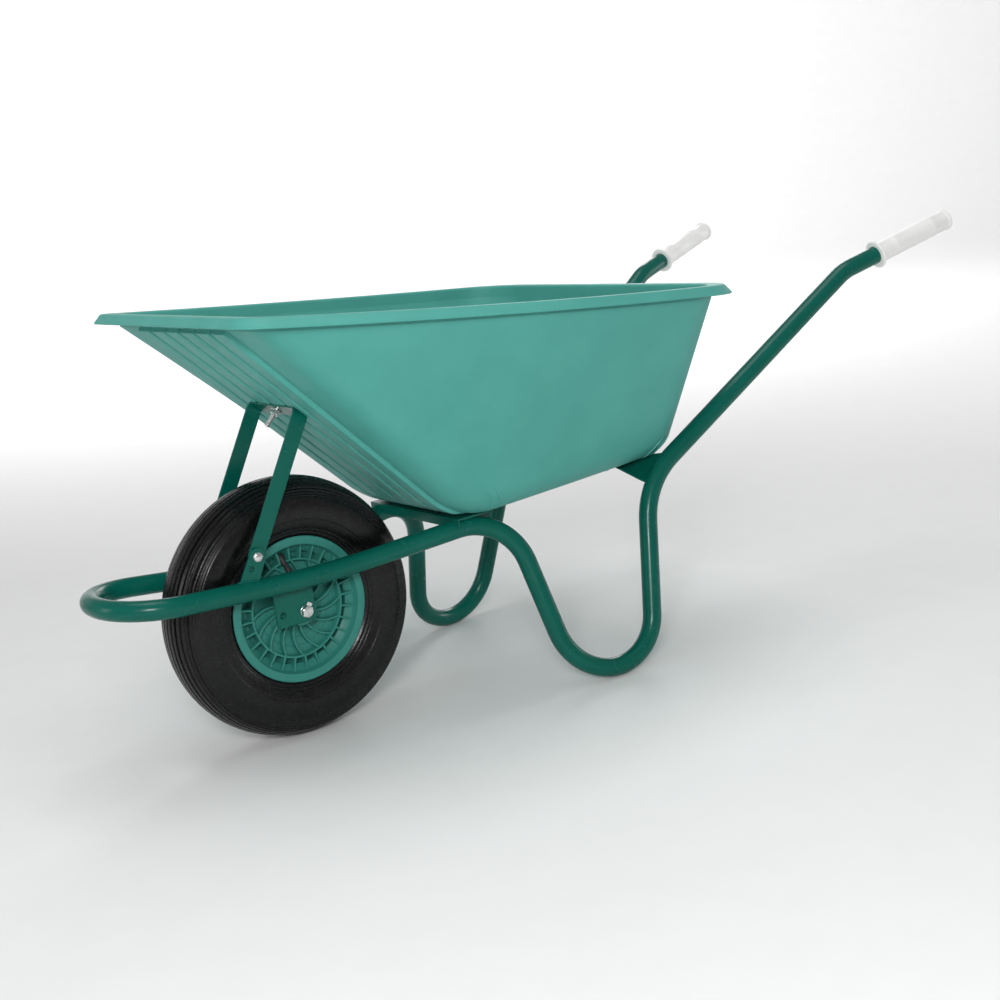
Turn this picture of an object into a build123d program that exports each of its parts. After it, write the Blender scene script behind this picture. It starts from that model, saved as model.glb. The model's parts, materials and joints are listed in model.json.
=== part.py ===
from build123d import *
import os
from math import cos, radians, sin

# Builder's wheelbarrow with a moulded tray, a bent tubular frame and one pneumatic wheel.
# +X points forward to the wheel, +Y to the user's left, +Z up, and the ground is Z = 0.
# Stations along the barrow are distances forward of the axle, so AXLE_X places them all.

# ---- wheel ----
AXLE_X = 459.8
WHEEL_RADIUS = 200.0
TYRE_WIDTH = 104.0
RIM_RADIUS = 112.0
RIM_HALF_WIDTH = 41.0
BEAD_SEAT_RADIUS = 101.5
FLANGE_THICKNESS = 3.0
HUB_RADIUS = 24.0
HUB_HALF_WIDTH = 46.0
WEB_HALF_THICKNESS = 22.0
SPOKE_COUNT = 16
SPOKE_HALF_DEPTH = 28.0
SPOKE_THICKNESS = 3.0
RING_RADIUS = 77.0
RING_RIB_COUNT = 28
GROOVE_STATIONS = (-27.0, -9.0, 9.0, 27.0)
GROOVE_WIDTH = 4.5
GROOVE_DEPTH = 5.0
VALVE_ANGLE = 9.0
VALVE_STEM_RADIUS = 4.0

VALVE_BASE_RADIUS = 106.0
VALVE_BASE_SIDE = 6.5
VALVE_TIP_RADIUS = 69.0
VALVE_TIP_SIDE = 38.0
VALVE_CAP_LENGTH = 9.0
RING_WEB_HALF_THICKNESS = 14.0
RING_RIB_THICKNESS = 3.0
SPOKE_MIDDLE = (50.0, 7.0)
SPOKE_TIP = (70.0, 27.0)
BEAD_INNER = 29.0
BEAD_OUTER = 37.9
TYRE_BULGE_RADIUS = 152.0
SHOULDER_HALF = 43.0
SHOULDER_RADIUS = 186.0
TREAD_THICKNESS = 11.0
SIDEWALL = 7.0
GROOVE_DROP = 0.07
INNER_TUBE_CENTRE = 145.5
INNER_TUBE_HALF_WIDTH = 40.0
INNER_TUBE_HALF_HEIGHT = 38.0
INNER_TUBE_WALL = 2.0

# ---- axle ----
AXLE_SHAFT_RADIUS = 10.0
BUSH_OUTER_RADIUS = 15.0
BUSH_LENGTH = 30.0
BUSH_FLANGE_RADIUS = 18.0
BUSH_FLANGE_THICKNESS = 3.0
RUNNING_CLEARANCE = 0.05
SIDE_PLAY = 0.3
AXLE_PLATE_INNER = 52.5
AXLE_PLATE_THICKNESS = 3.0
AXLE_SPACER_RADIUS = 14.0
AXLE_BOLT_REACH = 22.0
M10_RADIUS = 5.0
M10_ACROSS_FLATS = 17.0
M10_HEAD = 6.4
M10_WASHER_RADIUS = 9.5
WASHER_THICKNESS = 2.0

# ---- frame ----
TUBE_RADIUS = 15.0
TUBE_WALL = 2.0
LOOP_CORNER = (295.0, 98.0, 280.0)
WHEEL_BEND = (-30.0, 62.0, 248.0)
LEG_FRONT_TOP = (-333.0, 132.0, 281.0)
FOOT_FRONT = (-358.0, 220.0, 33.15)
FOOT_REAR = (-501.0, 248.0, -3.85)
LEG_REAR_TOP = (-573.0, 192.0, 280.0)
HANDLE_BEND = (-1003.0, 259.0, 558.0)
HANDLE_END = (-1224.0, 304.0, 616.0)
LOOP_RADIUS = 84.0
WHEEL_BEND_RADIUS = 500.0
LEG_FRONT_RADIUS = 90.0
FOOT_FRONT_RADIUS = 92.0
FOOT_REAR_RADIUS = 84.0
LEG_REAR_RADIUS = 145.0
HANDLE_BEND_RADIUS = 90.0
RAIL_JOINT = 0.61
HANDLE_JOINT = 0.16

# ---- grips ----
GRIP_LENGTH = 163.0
GRIP_RADIUS = 17.5
GRIP_FLANGE_RADIUS = 24.0
GRIP_FLANGE_THICKNESS = 5.0
GRIP_COLLAR_RADIUS = 18.5
GRIP_COLLAR_LENGTH = 7.0
GRIP_END_WALL = 6.0

# ---- tray ----
WALL = 5.0
RIM_FRONT = 122.0
RIM_REAR = -705.0
RIM_FRONT_HALF = 255.0
RIM_REAR_HALF = 328.0
RIM_SIDE_BULGE = 36.0
RIM_FRONT_CORNER = 45.0
RIM_REAR_CORNER = 94.0
RIM_HEIGHT_AT_AXLE = 652.0
RIM_SLOPE = 0.0965
LIP_OUT = 11.5
LIP_DOWN = 15.0
LIP_THICKNESS = 3.0
RIM_SHELF = 9.0
FRONT_SHELF = 24.0
REAR_SHELF = 20.0
SHOULDER_DOWN = 20.0
FLOOR_FRONT = -253.0
FLOOR_REAR = -668.0
FLOOR_FRONT_HALF = 158.0
FLOOR_REAR_HALF = 172.0
FLOOR_SIDE_BULGE = 4.0
FLOOR_FRONT_CORNER = 52.0
FLOOR_REAR_CORNER = 60.0
FLOOR_HEIGHT_AT_FRONT = 291.0
FLOOR_SLOPE = -0.053
# climb up the wall and inset at each step of the rounded floor edge
FLOOR_EDGE_STEPS = ((0.0, 24.0), (0.02, 12.0), (0.06, 3.5), (0.12, 0.0))
RIB_FOOT = 22.0
RIB_COUNT = 6
RIB_GAP = 10.0
RIB_HEIGHT = 6.0
RIB_TOP_HALF = 150.0
RIB_FLOOR_HALF = 121.0

# ---- stay, tabs, crossmembers ----
STAY_HALF_SPAN = 75.0
STAY_WIDTH = 25.0
STAY_THICKNESS = 4.0
STAY_TOP_STATION = -40.0
STAY_BOLT = (74.0, 307.0)
TAB_SPARE_HOLE = (87.0, 292.0)
TAB_THICKNESS = 4.0
M8_RADIUS = 4.0
M8_HOLE_RADIUS = 4.3
CROSS_STATION = -275.0
CROSS_WIDTH = 64.0
CROSS_HALF_SPAN = 128.0
CROSS_THICKNESS = 3.0
CROSS_DEPTH = 15.0
REAR_CROSS_STATION = -592.0
REAR_CROSS_WIDTH = 62.0
REAR_CROSS_THICKNESS = 4.0
REAR_CROSS_FLAT = 115.0
REAR_CROSS_HALF_SPAN = 192.0
# station, height, width and tilt of the rear crossmember's ends, inside the handle bends
REAR_CROSS_END = (-604.0, 296.0, 56.0, 38.0)
FRONT_BOLT_STATION = -291.0
TRAY_BOLT_OFFSET = 70.0
TRAY_BOLT_LENGTH = 32.0
NOSE_BOLT_LENGTH = 44.0
NOSE_WALL = 4.6
STAY_BOLT_LENGTH = 22.0
M8_HEAD_RADIUS = 8.0
M8_HEAD = 4.5
M8_ACROSS_FLATS = 13.0
M8_NUT = 6.5
M8_WASHER_RADIUS = 8.5
AXLE_PLATE_CENTRE = (16.0, 218.0)
AXLE_PLATE_LENGTH = 66.0
AXLE_PLATE_HEIGHT = 68.0
AXLE_PLATE_CORNER = 5.0
AXLE_SPARE_HOLE = (38.0, 203.0)
TAB_INNER = 75.2
TAB_FOOT = (95.0, 268.0)
TAB_FOOT_LENGTH = 34.0


def at(station, side, height):
    """A point given by its distance forward of the axle, its side and its height."""
    return Vector(AXLE_X + station, side, height)


def between(start, end, fraction):
    """The point a fraction of the way from one point to another."""
    return tuple(a + (b - a) * fraction for a, b in zip(start, end))


def save(part, name):
    part.label = name
    export_step(part, f"parts/{name}.step")


os.makedirs("parts", exist_ok=True)

SIDES = ((1, "left"), (-1, "right"))
AXLE = at(0, 0, WHEEL_RADIUS)
AXLE_LINE = Axis(AXLE, (0, 1, 0))
# local x runs along the axle and local y is the radius, seen above the axle
WHEEL_SECTION = Plane(origin=AXLE, x_dir=(0, 1, 0), z_dir=(1, 0, 0))
# local x runs forward and local y down, with the normal to the left
WHEEL_FACE = Plane(origin=AXLE, x_dir=(1, 0, 0), z_dir=(0, 1, 0))


# ==== frame tubes ====

RAIL_CUT = between(WHEEL_BEND, LEG_FRONT_TOP, RAIL_JOINT)
HANDLE_CUT = between(LEG_REAR_TOP, HANDLE_BEND, HANDLE_JOINT)


def route(points, side):
    """Frame points on one side: +1 is left, -1 is right."""
    return [at(station, side * offset, height) for station, offset, height in points]


def bent_tube(points, radii, bore=TUBE_RADIUS - TUBE_WALL):
    """A round tube swept along straight runs that tangent arcs join. A bore of 0 is a solid bar."""
    with BuildPart() as tube:
        with BuildLine() as path:
            FilletPolyline(*points, radius=radii)
        with BuildSketch(Plane(origin=path.line @ 0, z_dir=path.line % 0)):
            Circle(TUBE_RADIUS)
            if bore:
                Circle(bore, mode=Mode.SUBTRACT)
        sweep()
    return tube.part


LOOP_ROUTE = (route([RAIL_CUT, WHEEL_BEND, LOOP_CORNER], -1)
              + route([LOOP_CORNER, WHEEL_BEND, RAIL_CUT], 1))
LOOP_RADII = [WHEEL_BEND_RADIUS, LOOP_RADIUS, LOOP_RADIUS, WHEEL_BEND_RADIUS]
LEG_POINTS = [RAIL_CUT, LEG_FRONT_TOP, FOOT_FRONT, FOOT_REAR, LEG_REAR_TOP, HANDLE_CUT]
LEG_RADII = [LEG_FRONT_RADIUS, FOOT_FRONT_RADIUS, FOOT_REAR_RADIUS, LEG_REAR_RADIUS]

save(bent_tube(LOOP_ROUTE, LOOP_RADII), "front_loop_tube")
for side, hand in SIDES:
    save(bent_tube(route(LEG_POINTS, side), LEG_RADII), f"{hand}_leg_tube")

# solid bars in the tubes' places, which shape the pieces that are welded to them
LOOP_BAR = bent_tube(LOOP_ROUTE, LOOP_RADII, bore=0)
LEG_BARS = [bent_tube(route(LEG_POINTS, side), LEG_RADII, bore=0) for side, hand in SIDES]

HANDLE_DIRECTION = (at(*HANDLE_END) - at(*HANDLE_BEND)).normalized()
TUBE_END = at(*HANDLE_END) - HANDLE_DIRECTION * GRIP_END_WALL

for side, hand in SIDES:
    tube_end = Vector(TUBE_END.X, side * TUBE_END.Y, TUBE_END.Z)
    handle = bent_tube(route([HANDLE_CUT, HANDLE_BEND], side) + [tube_end], [HANDLE_BEND_RADIUS])
    save(handle, f"{hand}_handle_tube")


# ==== hand grips ====

def hand_grip(side):
    """A closed sleeve with a hand stop at its inner end and a collar at its outer end."""
    end = Vector(AXLE_X + HANDLE_END[0], side * HANDLE_END[1], HANDLE_END[2])
    inward = Vector(-HANDLE_DIRECTION.X, -side * HANDLE_DIRECTION.Y, -HANDLE_DIRECTION.Z)
    axis_plane = Plane(origin=end, z_dir=inward)
    with BuildPart() as grip:
        with BuildSketch(axis_plane):
            Circle(GRIP_RADIUS)
        extrude(amount=GRIP_LENGTH)
        with BuildSketch(axis_plane):
            Circle(GRIP_COLLAR_RADIUS)
        extrude(amount=GRIP_COLLAR_LENGTH)
        with BuildSketch(axis_plane.offset(GRIP_LENGTH - GRIP_FLANGE_THICKNESS)):
            Circle(GRIP_FLANGE_RADIUS)
        extrude(amount=GRIP_FLANGE_THICKNESS)
        fillet(grip.edges().filter_by(GeomType.CIRCLE).filter_by(
            lambda edge: edge.radius > GRIP_RADIUS + 0.1), 0.9)
        with BuildSketch(axis_plane.offset(GRIP_END_WALL)):
            Circle(TUBE_RADIUS + RUNNING_CLEARANCE)
        extrude(amount=GRIP_LENGTH, mode=Mode.SUBTRACT)
    return grip.part


for side, hand in SIDES:
    save(hand_grip(side), f"{hand}_grip")


# ==== tray ====

def tilted_plane(height, slope):
    """A plane through the given height at the axle that rises forward with the given slope."""
    return Plane(origin=(AXLE_X, 0, height), x_dir=(1, 0, slope), z_dir=(-slope, 0, 1))


def outline(plane, sizes, inset):
    """A closed outline with curved sides and round corners, moved inward by an inset."""
    front, rear, front_half, rear_half, bulge, front_corner, rear_corner = sizes
    front = front - inset
    rear = rear + inset
    front_half = front_half - inset
    rear_half = rear_half - inset
    middle = ((front + rear) / 2, (front_half + rear_half) / 2 + bulge)
    with BuildSketch(plane) as sketch:
        with BuildLine():
            Line((front, -front_half), (front, front_half))
            ThreePointArc((front, front_half), middle, (rear, rear_half))
            Line((rear, rear_half), (rear, -rear_half))
            ThreePointArc((rear, -rear_half), (middle[0], -middle[1]), (front, -front_half))
        make_face()
        fillet(sketch.vertices().group_by(Axis.X)[-1], front_corner - inset)
        fillet(sketch.vertices().group_by(Axis.X)[0], rear_corner - inset)
    return sketch.sketch


# front, rear, half width at the front and rear, side bulge, corner radii
RIM_SIZES = (RIM_FRONT, RIM_REAR, RIM_FRONT_HALF, RIM_REAR_HALF,
             RIM_SIDE_BULGE, RIM_FRONT_CORNER, RIM_REAR_CORNER)
FLOOR_SIZES = (FLOOR_FRONT, FLOOR_REAR, FLOOR_FRONT_HALF, FLOOR_REAR_HALF,
               FLOOR_SIDE_BULGE, FLOOR_FRONT_CORNER, FLOOR_REAR_CORNER)
SHOULDER_SIZES = (RIM_FRONT - FRONT_SHELF, RIM_REAR + REAR_SHELF, RIM_FRONT_HALF - RIM_SHELF,
                  RIM_REAR_HALF - RIM_SHELF, RIM_SIDE_BULGE, RIM_FRONT_CORNER, RIM_REAR_CORNER)
FLOOR_HEIGHT_AT_AXLE = FLOOR_HEIGHT_AT_FRONT - FLOOR_FRONT * FLOOR_SLOPE
SHOULDER_HEIGHT_AT_AXLE = RIM_HEIGHT_AT_AXLE - SHOULDER_DOWN


def rim_outline(down, inset):
    """The tray's outline at its crest, moved some way down and inward."""
    return outline(tilted_plane(RIM_HEIGHT_AT_AXLE - down, RIM_SLOPE), RIM_SIZES, inset)


def wall_outline(climb, up, inset):
    """The tub's outline part of the way up its walls: 0 at the floor and 1 at the shoulder."""
    height = FLOOR_HEIGHT_AT_AXLE + (SHOULDER_HEIGHT_AT_AXLE - FLOOR_HEIGHT_AT_AXLE) * climb
    slope = FLOOR_SLOPE + (RIM_SLOPE - FLOOR_SLOPE) * climb
    return outline(tilted_plane(height + up, slope), between(FLOOR_SIZES, SHOULDER_SIZES, climb), inset)


def tub(inset, up, overshoot):
    """The solid body of the tub: a rounded floor edge, sloping walls, an upright band."""
    edge = [wall_outline(climb, up, inset + extra) for climb, extra in FLOOR_EDGE_STEPS]
    shoulder = wall_outline(1, 0, inset)
    with BuildPart() as body:
        loft(edge + [shoulder], ruled=True)
        extrude(shoulder, amount=SHOULDER_DOWN + overshoot)
    return body.part


# the front slope: local x runs to the left, local y up the slope, and the normal points out
SLOPE_TOP = tilted_plane(SHOULDER_HEIGHT_AT_AXLE, RIM_SLOPE).from_local_coords((SHOULDER_SIZES[0], 0, 0))
SLOPE_FOOT = tilted_plane(FLOOR_HEIGHT_AT_AXLE, FLOOR_SLOPE).from_local_coords((FLOOR_FRONT, 0, 0))
UP_SLOPE = (SLOPE_TOP - SLOPE_FOOT).normalized()
SLOPE_LENGTH = (SLOPE_TOP - SLOPE_FOOT).length
SLOPE_PLANE = Plane(origin=SLOPE_FOOT, x_dir=(0, 1, 0), z_dir=Vector(0, 1, 0).cross(UP_SLOPE))


def slope_ribs():
    """Flat ribs that fan out up the front slope, standing proud of the tub's wall."""
    length = SLOPE_LENGTH
    with BuildPart() as ribs:
        with BuildSketch(SLOPE_PLANE):
            for index in range(RIB_COUNT):
                low = -1 + 2 * index / RIB_COUNT
                high = -1 + 2 * (index + 1) / RIB_COUNT
                with BuildLine():
                    Polyline(
                        (RIB_FLOOR_HALF * low + RIB_GAP / 2, RIB_FOOT),
                        (RIB_TOP_HALF * low + RIB_GAP / 2, length),
                        (RIB_TOP_HALF * high - RIB_GAP / 2, length),
                        (RIB_FLOOR_HALF * high - RIB_GAP / 2, RIB_FOOT),
                        close=True,
                    )
                make_face()
        extrude(amount=RIB_HEIGHT)
    return ribs.part


def floor_height(station):
    """The height of the tray's underside at a station."""
    return FLOOR_HEIGHT_AT_AXLE + FLOOR_SLOPE * station


CROSS_TOP = floor_height(CROSS_STATION + CROSS_WIDTH / 2) - 0.1
REAR_CROSS_TOP = floor_height(REAR_CROSS_STATION + REAR_CROSS_WIDTH / 2) - 0.1


def post(base, direction, radius, length):
    """A round bar used as a bolt shank or to cut a hole."""
    with BuildPart() as bar:
        with BuildSketch(Plane(origin=base, z_dir=direction)):
            Circle(radius)
        extrude(amount=length)
    return bar.part


# where the tray is bolted down, and where the stay's crosspiece is bolted to the slope
TRAY_BOLTS = [(station, offset) for station in (FRONT_BOLT_STATION, REAR_CROSS_STATION)
              for offset in (-TRAY_BOLT_OFFSET, TRAY_BOLT_OFFSET)]


def bolt_places(bolt_station):
    """Where the two bolts of one crossmember go, seen from above."""
    return [(AXLE_X + station, offset) for station, offset in TRAY_BOLTS if station == bolt_station]


NOSE_UP_SLOPE = (at(STAY_TOP_STATION, 0, 0).X - SLOPE_FOOT.X) / UP_SLOPE.X
NOSE_SEAT = SLOPE_FOOT + UP_SLOPE * NOSE_UP_SLOPE
SLOPE_OUT = SLOPE_PLANE.z_dir

with BuildPart() as tray:
    loft([rim_outline(0, 0), rim_outline(LIP_DOWN, -LIP_OUT)])
    loft([rim_outline(LIP_THICKNESS, LIP_THICKNESS), rim_outline(LIP_DOWN + 1, LIP_THICKNESS - LIP_OUT)],
         mode=Mode.SUBTRACT)
    add(tub(0, 0, 0))
    add(slope_ribs())
    add(tub(WALL, WALL, 5), mode=Mode.SUBTRACT)
    for station, offset in TRAY_BOLTS:
        add(post(at(station, offset, floor_height(station) - WALL), (0, 0, 1), M8_HOLE_RADIUS, 4 * WALL),
            mode=Mode.SUBTRACT)
    add(post(NOSE_SEAT - SLOPE_OUT * 2 * WALL, SLOPE_OUT, M8_HOLE_RADIUS, 4 * WALL), mode=Mode.SUBTRACT)
save(tray.part, "tray")


# ==== plates, tabs and stay ====

def upright(outer_face):
    """A plane across the barrow: local x is the station and local y the height."""
    return Plane(origin=(AXLE_X, outer_face, 0), x_dir=(1, 0, 0), z_dir=(0, -1, 0))


def plate_plane(side, inner, thickness):
    """The plane that a plate is extruded from, towards -Y, on either side."""
    return upright(inner + thickness if side > 0 else -inner)


for side, hand in SIDES:
    with BuildPart() as axle_plate:
        with BuildSketch(plate_plane(side, AXLE_PLATE_INNER, AXLE_PLATE_THICKNESS)) as profile:
            with Locations(AXLE_PLATE_CENTRE):
                Rectangle(AXLE_PLATE_LENGTH, AXLE_PLATE_HEIGHT)
            fillet(profile.vertices(), AXLE_PLATE_CORNER)
            with Locations((0, WHEEL_RADIUS), AXLE_SPARE_HOLE):
                Circle(M10_RADIUS + 0.25, mode=Mode.SUBTRACT)
        extrude(amount=AXLE_PLATE_THICKNESS)
        add(LOOP_BAR, mode=Mode.SUBTRACT)
    save(axle_plate.part, f"{hand}_axle_plate")

for side, hand in SIDES:
    with BuildPart() as stay_tab:
        with BuildSketch(plate_plane(side, TAB_INNER, TAB_THICKNESS)):
            with Locations(STAY_BOLT):
                Circle(STAY_WIDTH / 2 + 0.5)
            with Locations(TAB_FOOT):
                Rectangle(TAB_FOOT_LENGTH, 4)
            make_hull()
            with Locations(STAY_BOLT, TAB_SPARE_HOLE):
                Circle(M8_HOLE_RADIUS, mode=Mode.SUBTRACT)
        extrude(amount=TAB_THICKNESS)
        add(LOOP_BAR, mode=Mode.SUBTRACT)
    save(stay_tab.part, f"{hand}_stay_tab")

CROSSPIECE_SEAT = RIB_HEIGHT + 0.1
STAY_TOP = NOSE_SEAT + SLOPE_OUT * CROSSPIECE_SEAT
STAY_TOP_POINT = Vector(STAY_TOP.X - AXLE_X, STAY_TOP.Z)
STAY_FOOT_POINT = Vector(*STAY_BOLT)
STAY_ALONG = (STAY_TOP_POINT - STAY_FOOT_POINT).normalized()
STAY_ACROSS = Vector(STAY_ALONG.Y, -STAY_ALONG.X) * (STAY_WIDTH / 2)
STAY_TOP_EDGE = Vector(UP_SLOPE.X, UP_SLOPE.Z) * (STAY_WIDTH / 2)

with BuildPart() as front_stay:
    for side, hand in SIDES:
        with BuildSketch(plate_plane(side, STAY_HALF_SPAN - STAY_THICKNESS, STAY_THICKNESS)):
            with Locations(STAY_BOLT):
                Circle(STAY_WIDTH / 2)
            with BuildLine():
                Polyline(
                    STAY_TOP_POINT + STAY_TOP_EDGE,
                    STAY_TOP_POINT - STAY_TOP_EDGE,
                    STAY_FOOT_POINT - STAY_ACROSS,
                    STAY_FOOT_POINT + STAY_ACROSS,
                    close=True,
                )
            make_face()
            with Locations(STAY_BOLT):
                Circle(M8_HOLE_RADIUS, mode=Mode.SUBTRACT)
        extrude(amount=STAY_THICKNESS)
    with BuildSketch(Plane(origin=STAY_TOP, x_dir=(0, 1, 0), z_dir=SLOPE_OUT)):
        Rectangle(2 * STAY_HALF_SPAN, STAY_WIDTH)
        Circle(M8_HOLE_RADIUS, mode=Mode.SUBTRACT)
    extrude(amount=STAY_THICKNESS)
save(front_stay.part, "front_stay")

with BuildPart() as front_crossmember:
    with BuildSketch(upright(CROSS_HALF_SPAN)):
        with Locations((CROSS_STATION, CROSS_TOP)):
            Rectangle(CROSS_WIDTH, CROSS_DEPTH, align=(Align.CENTER, Align.MAX))
        with Locations((CROSS_STATION, CROSS_TOP - CROSS_THICKNESS)):
            Rectangle(CROSS_WIDTH - 2 * CROSS_THICKNESS, CROSS_DEPTH, align=(Align.CENTER, Align.MAX),
                      mode=Mode.SUBTRACT)
    extrude(amount=2 * CROSS_HALF_SPAN)
    for bar in [LOOP_BAR] + LEG_BARS:
        add(bar, mode=Mode.SUBTRACT)
    with BuildSketch(Plane.XY.offset(CROSS_TOP)):
        with Locations(*bolt_places(FRONT_BOLT_STATION)):
            Circle(M8_HOLE_RADIUS)
    extrude(amount=-2 * CROSS_DEPTH, mode=Mode.SUBTRACT)
save(front_crossmember.part, "front_crossmember")


def strap_section(offset, station, height, width, tilt):
    """A flat bar's section across the barrow, rising backwards by a tilt in degrees."""
    plane = Plane(origin=at(station, offset, height), x_dir=(cos(radians(tilt)), 0, -sin(radians(tilt))),
                  z_dir=(0, -1, 0))
    with BuildSketch(plane) as section:
        Rectangle(width, REAR_CROSS_THICKNESS)
    return section.sketch


with BuildPart() as rear_crossmember:
    middle_height = REAR_CROSS_TOP - REAR_CROSS_THICKNESS / 2
    loft([strap_section(REAR_CROSS_HALF_SPAN, *REAR_CROSS_END)]
         + [strap_section(offset, REAR_CROSS_STATION, middle_height, REAR_CROSS_WIDTH, 0)
            for offset in (REAR_CROSS_FLAT, -REAR_CROSS_FLAT)]
         + [strap_section(-REAR_CROSS_HALF_SPAN, *REAR_CROSS_END)], ruled=True)
    for bar in LEG_BARS:
        add(bar, mode=Mode.SUBTRACT)
    with BuildSketch(Plane.XY.offset(REAR_CROSS_TOP)):
        with Locations(*bolt_places(REAR_CROSS_STATION)):
            Circle(M8_HOLE_RADIUS)
    extrude(amount=2 * REAR_CROSS_THICKNESS, both=True, mode=Mode.SUBTRACT)
save(rear_crossmember.part, "rear_crossmember")


# ==== wheel ====

def wheel_ring(points):
    """A closed section turned about the axle: points are (distance along the axle, radius)."""
    with BuildPart() as ring:
        with BuildSketch(WHEEL_SECTION):
            with BuildLine():
                Polyline(*points, close=True)
            make_face()
        revolve(axis=AXLE_LINE)
    return ring.part


BARREL_WELL_RADIUS = BEAD_SEAT_RADIUS - 10.0
BARREL_WALL = 4.5
RIM_FACE = RIM_HALF_WIDTH
BARREL_OUTSIDE = [
    (0.0, BARREL_WELL_RADIUS),
    (20.0, BARREL_WELL_RADIUS),
    (28.0, BEAD_SEAT_RADIUS),
    (RIM_FACE - FLANGE_THICKNESS, BEAD_SEAT_RADIUS),
    (RIM_FACE - FLANGE_THICKNESS, RIM_RADIUS),
    (RIM_FACE, RIM_RADIUS),
    (RIM_FACE, BEAD_SEAT_RADIUS - BARREL_WALL),
    (30.0, BEAD_SEAT_RADIUS - BARREL_WALL),
    (22.0, BARREL_WELL_RADIUS - BARREL_WALL),
    (0.0, BARREL_WELL_RADIUS - BARREL_WALL),
]
BARREL_SECTION = BARREL_OUTSIDE[:-1] + [(-x, y) for x, y in reversed(BARREL_OUTSIDE[1:-1])]

# the valve leaves the barrel's well and leans out to the left face
VALVE_TURN = radians(VALVE_ANGLE)
VALVE_RADIAL = Vector(sin(VALVE_TURN), 0, cos(VALVE_TURN))
VALVE_START = AXLE + VALVE_RADIAL * VALVE_BASE_RADIUS + Vector(0, VALVE_BASE_SIDE, 0)
VALVE_END = AXLE + VALVE_RADIAL * VALVE_TIP_RADIUS + Vector(0, VALVE_TIP_SIDE, 0)
VALVE_ALONG = (VALVE_END - VALVE_START).normalized()
VALVE_LENGTH = (VALVE_END - VALVE_START).length

with BuildSketch() as spoke:
    SlotArc(ThreePointArc((HUB_RADIUS - 2, 0), SPOKE_MIDDLE, SPOKE_TIP), SPOKE_THICKNESS)

with BuildPart() as wheel_rim:
    add(wheel_ring(BARREL_SECTION))
    with BuildSketch(WHEEL_FACE):
        Circle(RING_RADIUS)
    extrude(amount=WEB_HALF_THICKNESS, both=True)
    with BuildSketch(WHEEL_FACE):
        Circle(BARREL_WELL_RADIUS - BARREL_WALL / 2)
        Circle(RING_RADIUS - 1, mode=Mode.SUBTRACT)
    extrude(amount=RING_WEB_HALF_THICKNESS, both=True)
    with BuildSketch(WHEEL_FACE):
        Circle(RING_RADIUS)
        Circle(RING_RADIUS - SPOKE_THICKNESS, mode=Mode.SUBTRACT)
        with PolarLocations(0, SPOKE_COUNT):
            add(spoke.sketch)
        with PolarLocations((RING_RADIUS + BARREL_WELL_RADIUS - BARREL_WALL) / 2, RING_RIB_COUNT):
            Rectangle(BARREL_WELL_RADIUS - RING_RADIUS, RING_RIB_THICKNESS)
    extrude(amount=SPOKE_HALF_DEPTH, both=True)
    with BuildSketch(WHEEL_FACE):
        Circle(HUB_RADIUS)
    extrude(amount=HUB_HALF_WIDTH, both=True)
    with BuildSketch(WHEEL_FACE):
        Circle(BUSH_OUTER_RADIUS)
    extrude(amount=HUB_HALF_WIDTH, both=True, mode=Mode.SUBTRACT)
    add(post(VALVE_START, VALVE_ALONG, VALVE_STEM_RADIUS + 0.6, VALVE_LENGTH), mode=Mode.SUBTRACT)
save(wheel_rim.part, "wheel_rim")

with BuildPart() as tyre:
    with BuildSketch(WHEEL_SECTION):
        for hand in (1, -1):
            with BuildLine():
                bead = Line((hand * BEAD_INNER, BEAD_SEAT_RADIUS), (hand * BEAD_OUTER, BEAD_SEAT_RADIUS))
                flange_side = Line(bead @ 1, (hand * BEAD_OUTER, RIM_RADIUS + 0.5))
                bulge = ThreePointArc(flange_side @ 1, (hand * TYRE_WIDTH / 2, TYRE_BULGE_RADIUS),
                                      (hand * SHOULDER_HALF, SHOULDER_RADIUS))
                tread = ThreePointArc(bulge @ 1, (hand * SHOULDER_HALF * 0.55, WHEEL_RADIUS - 3.93),
                                      (0, WHEEL_RADIUS))
                crown = Line(tread @ 1, (0, WHEEL_RADIUS - TREAD_THICKNESS))
                under_tread = ThreePointArc(
                    crown @ 1,
                    (hand * SHOULDER_HALF * 0.5, WHEEL_RADIUS - TREAD_THICKNESS - 2.6),
                    (hand * (SHOULDER_HALF - SIDEWALL), SHOULDER_RADIUS - 5))
                liner = ThreePointArc(under_tread @ 1,
                                      (hand * (TYRE_WIDTH / 2 - SIDEWALL), TYRE_BULGE_RADIUS),
                                      (hand * BEAD_INNER, RIM_RADIUS + 2))
                Line(liner @ 1, bead @ 0)
            make_face()
    revolve(axis=AXLE_LINE)
    with BuildSketch(WHEEL_SECTION):
        for station in GROOVE_STATIONS:
            with Locations((station, WHEEL_RADIUS)):
                Rectangle(GROOVE_WIDTH, 2 * (GROOVE_DEPTH + abs(station) * GROOVE_DROP))
    revolve(axis=AXLE_LINE, mode=Mode.SUBTRACT)
save(tyre.part, "tyre")

with BuildPart() as inner_tube:
    with BuildSketch(WHEEL_SECTION):
        with Locations((0, INNER_TUBE_CENTRE)):
            Ellipse(INNER_TUBE_HALF_WIDTH, INNER_TUBE_HALF_HEIGHT)
            Ellipse(INNER_TUBE_HALF_WIDTH - INNER_TUBE_WALL, INNER_TUBE_HALF_HEIGHT - INNER_TUBE_WALL,
                    mode=Mode.SUBTRACT)
    revolve(axis=AXLE_LINE)
save(inner_tube.part, "inner_tube")

save(post(VALVE_START, VALVE_ALONG, VALVE_STEM_RADIUS, VALVE_LENGTH), "valve_stem")

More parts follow.
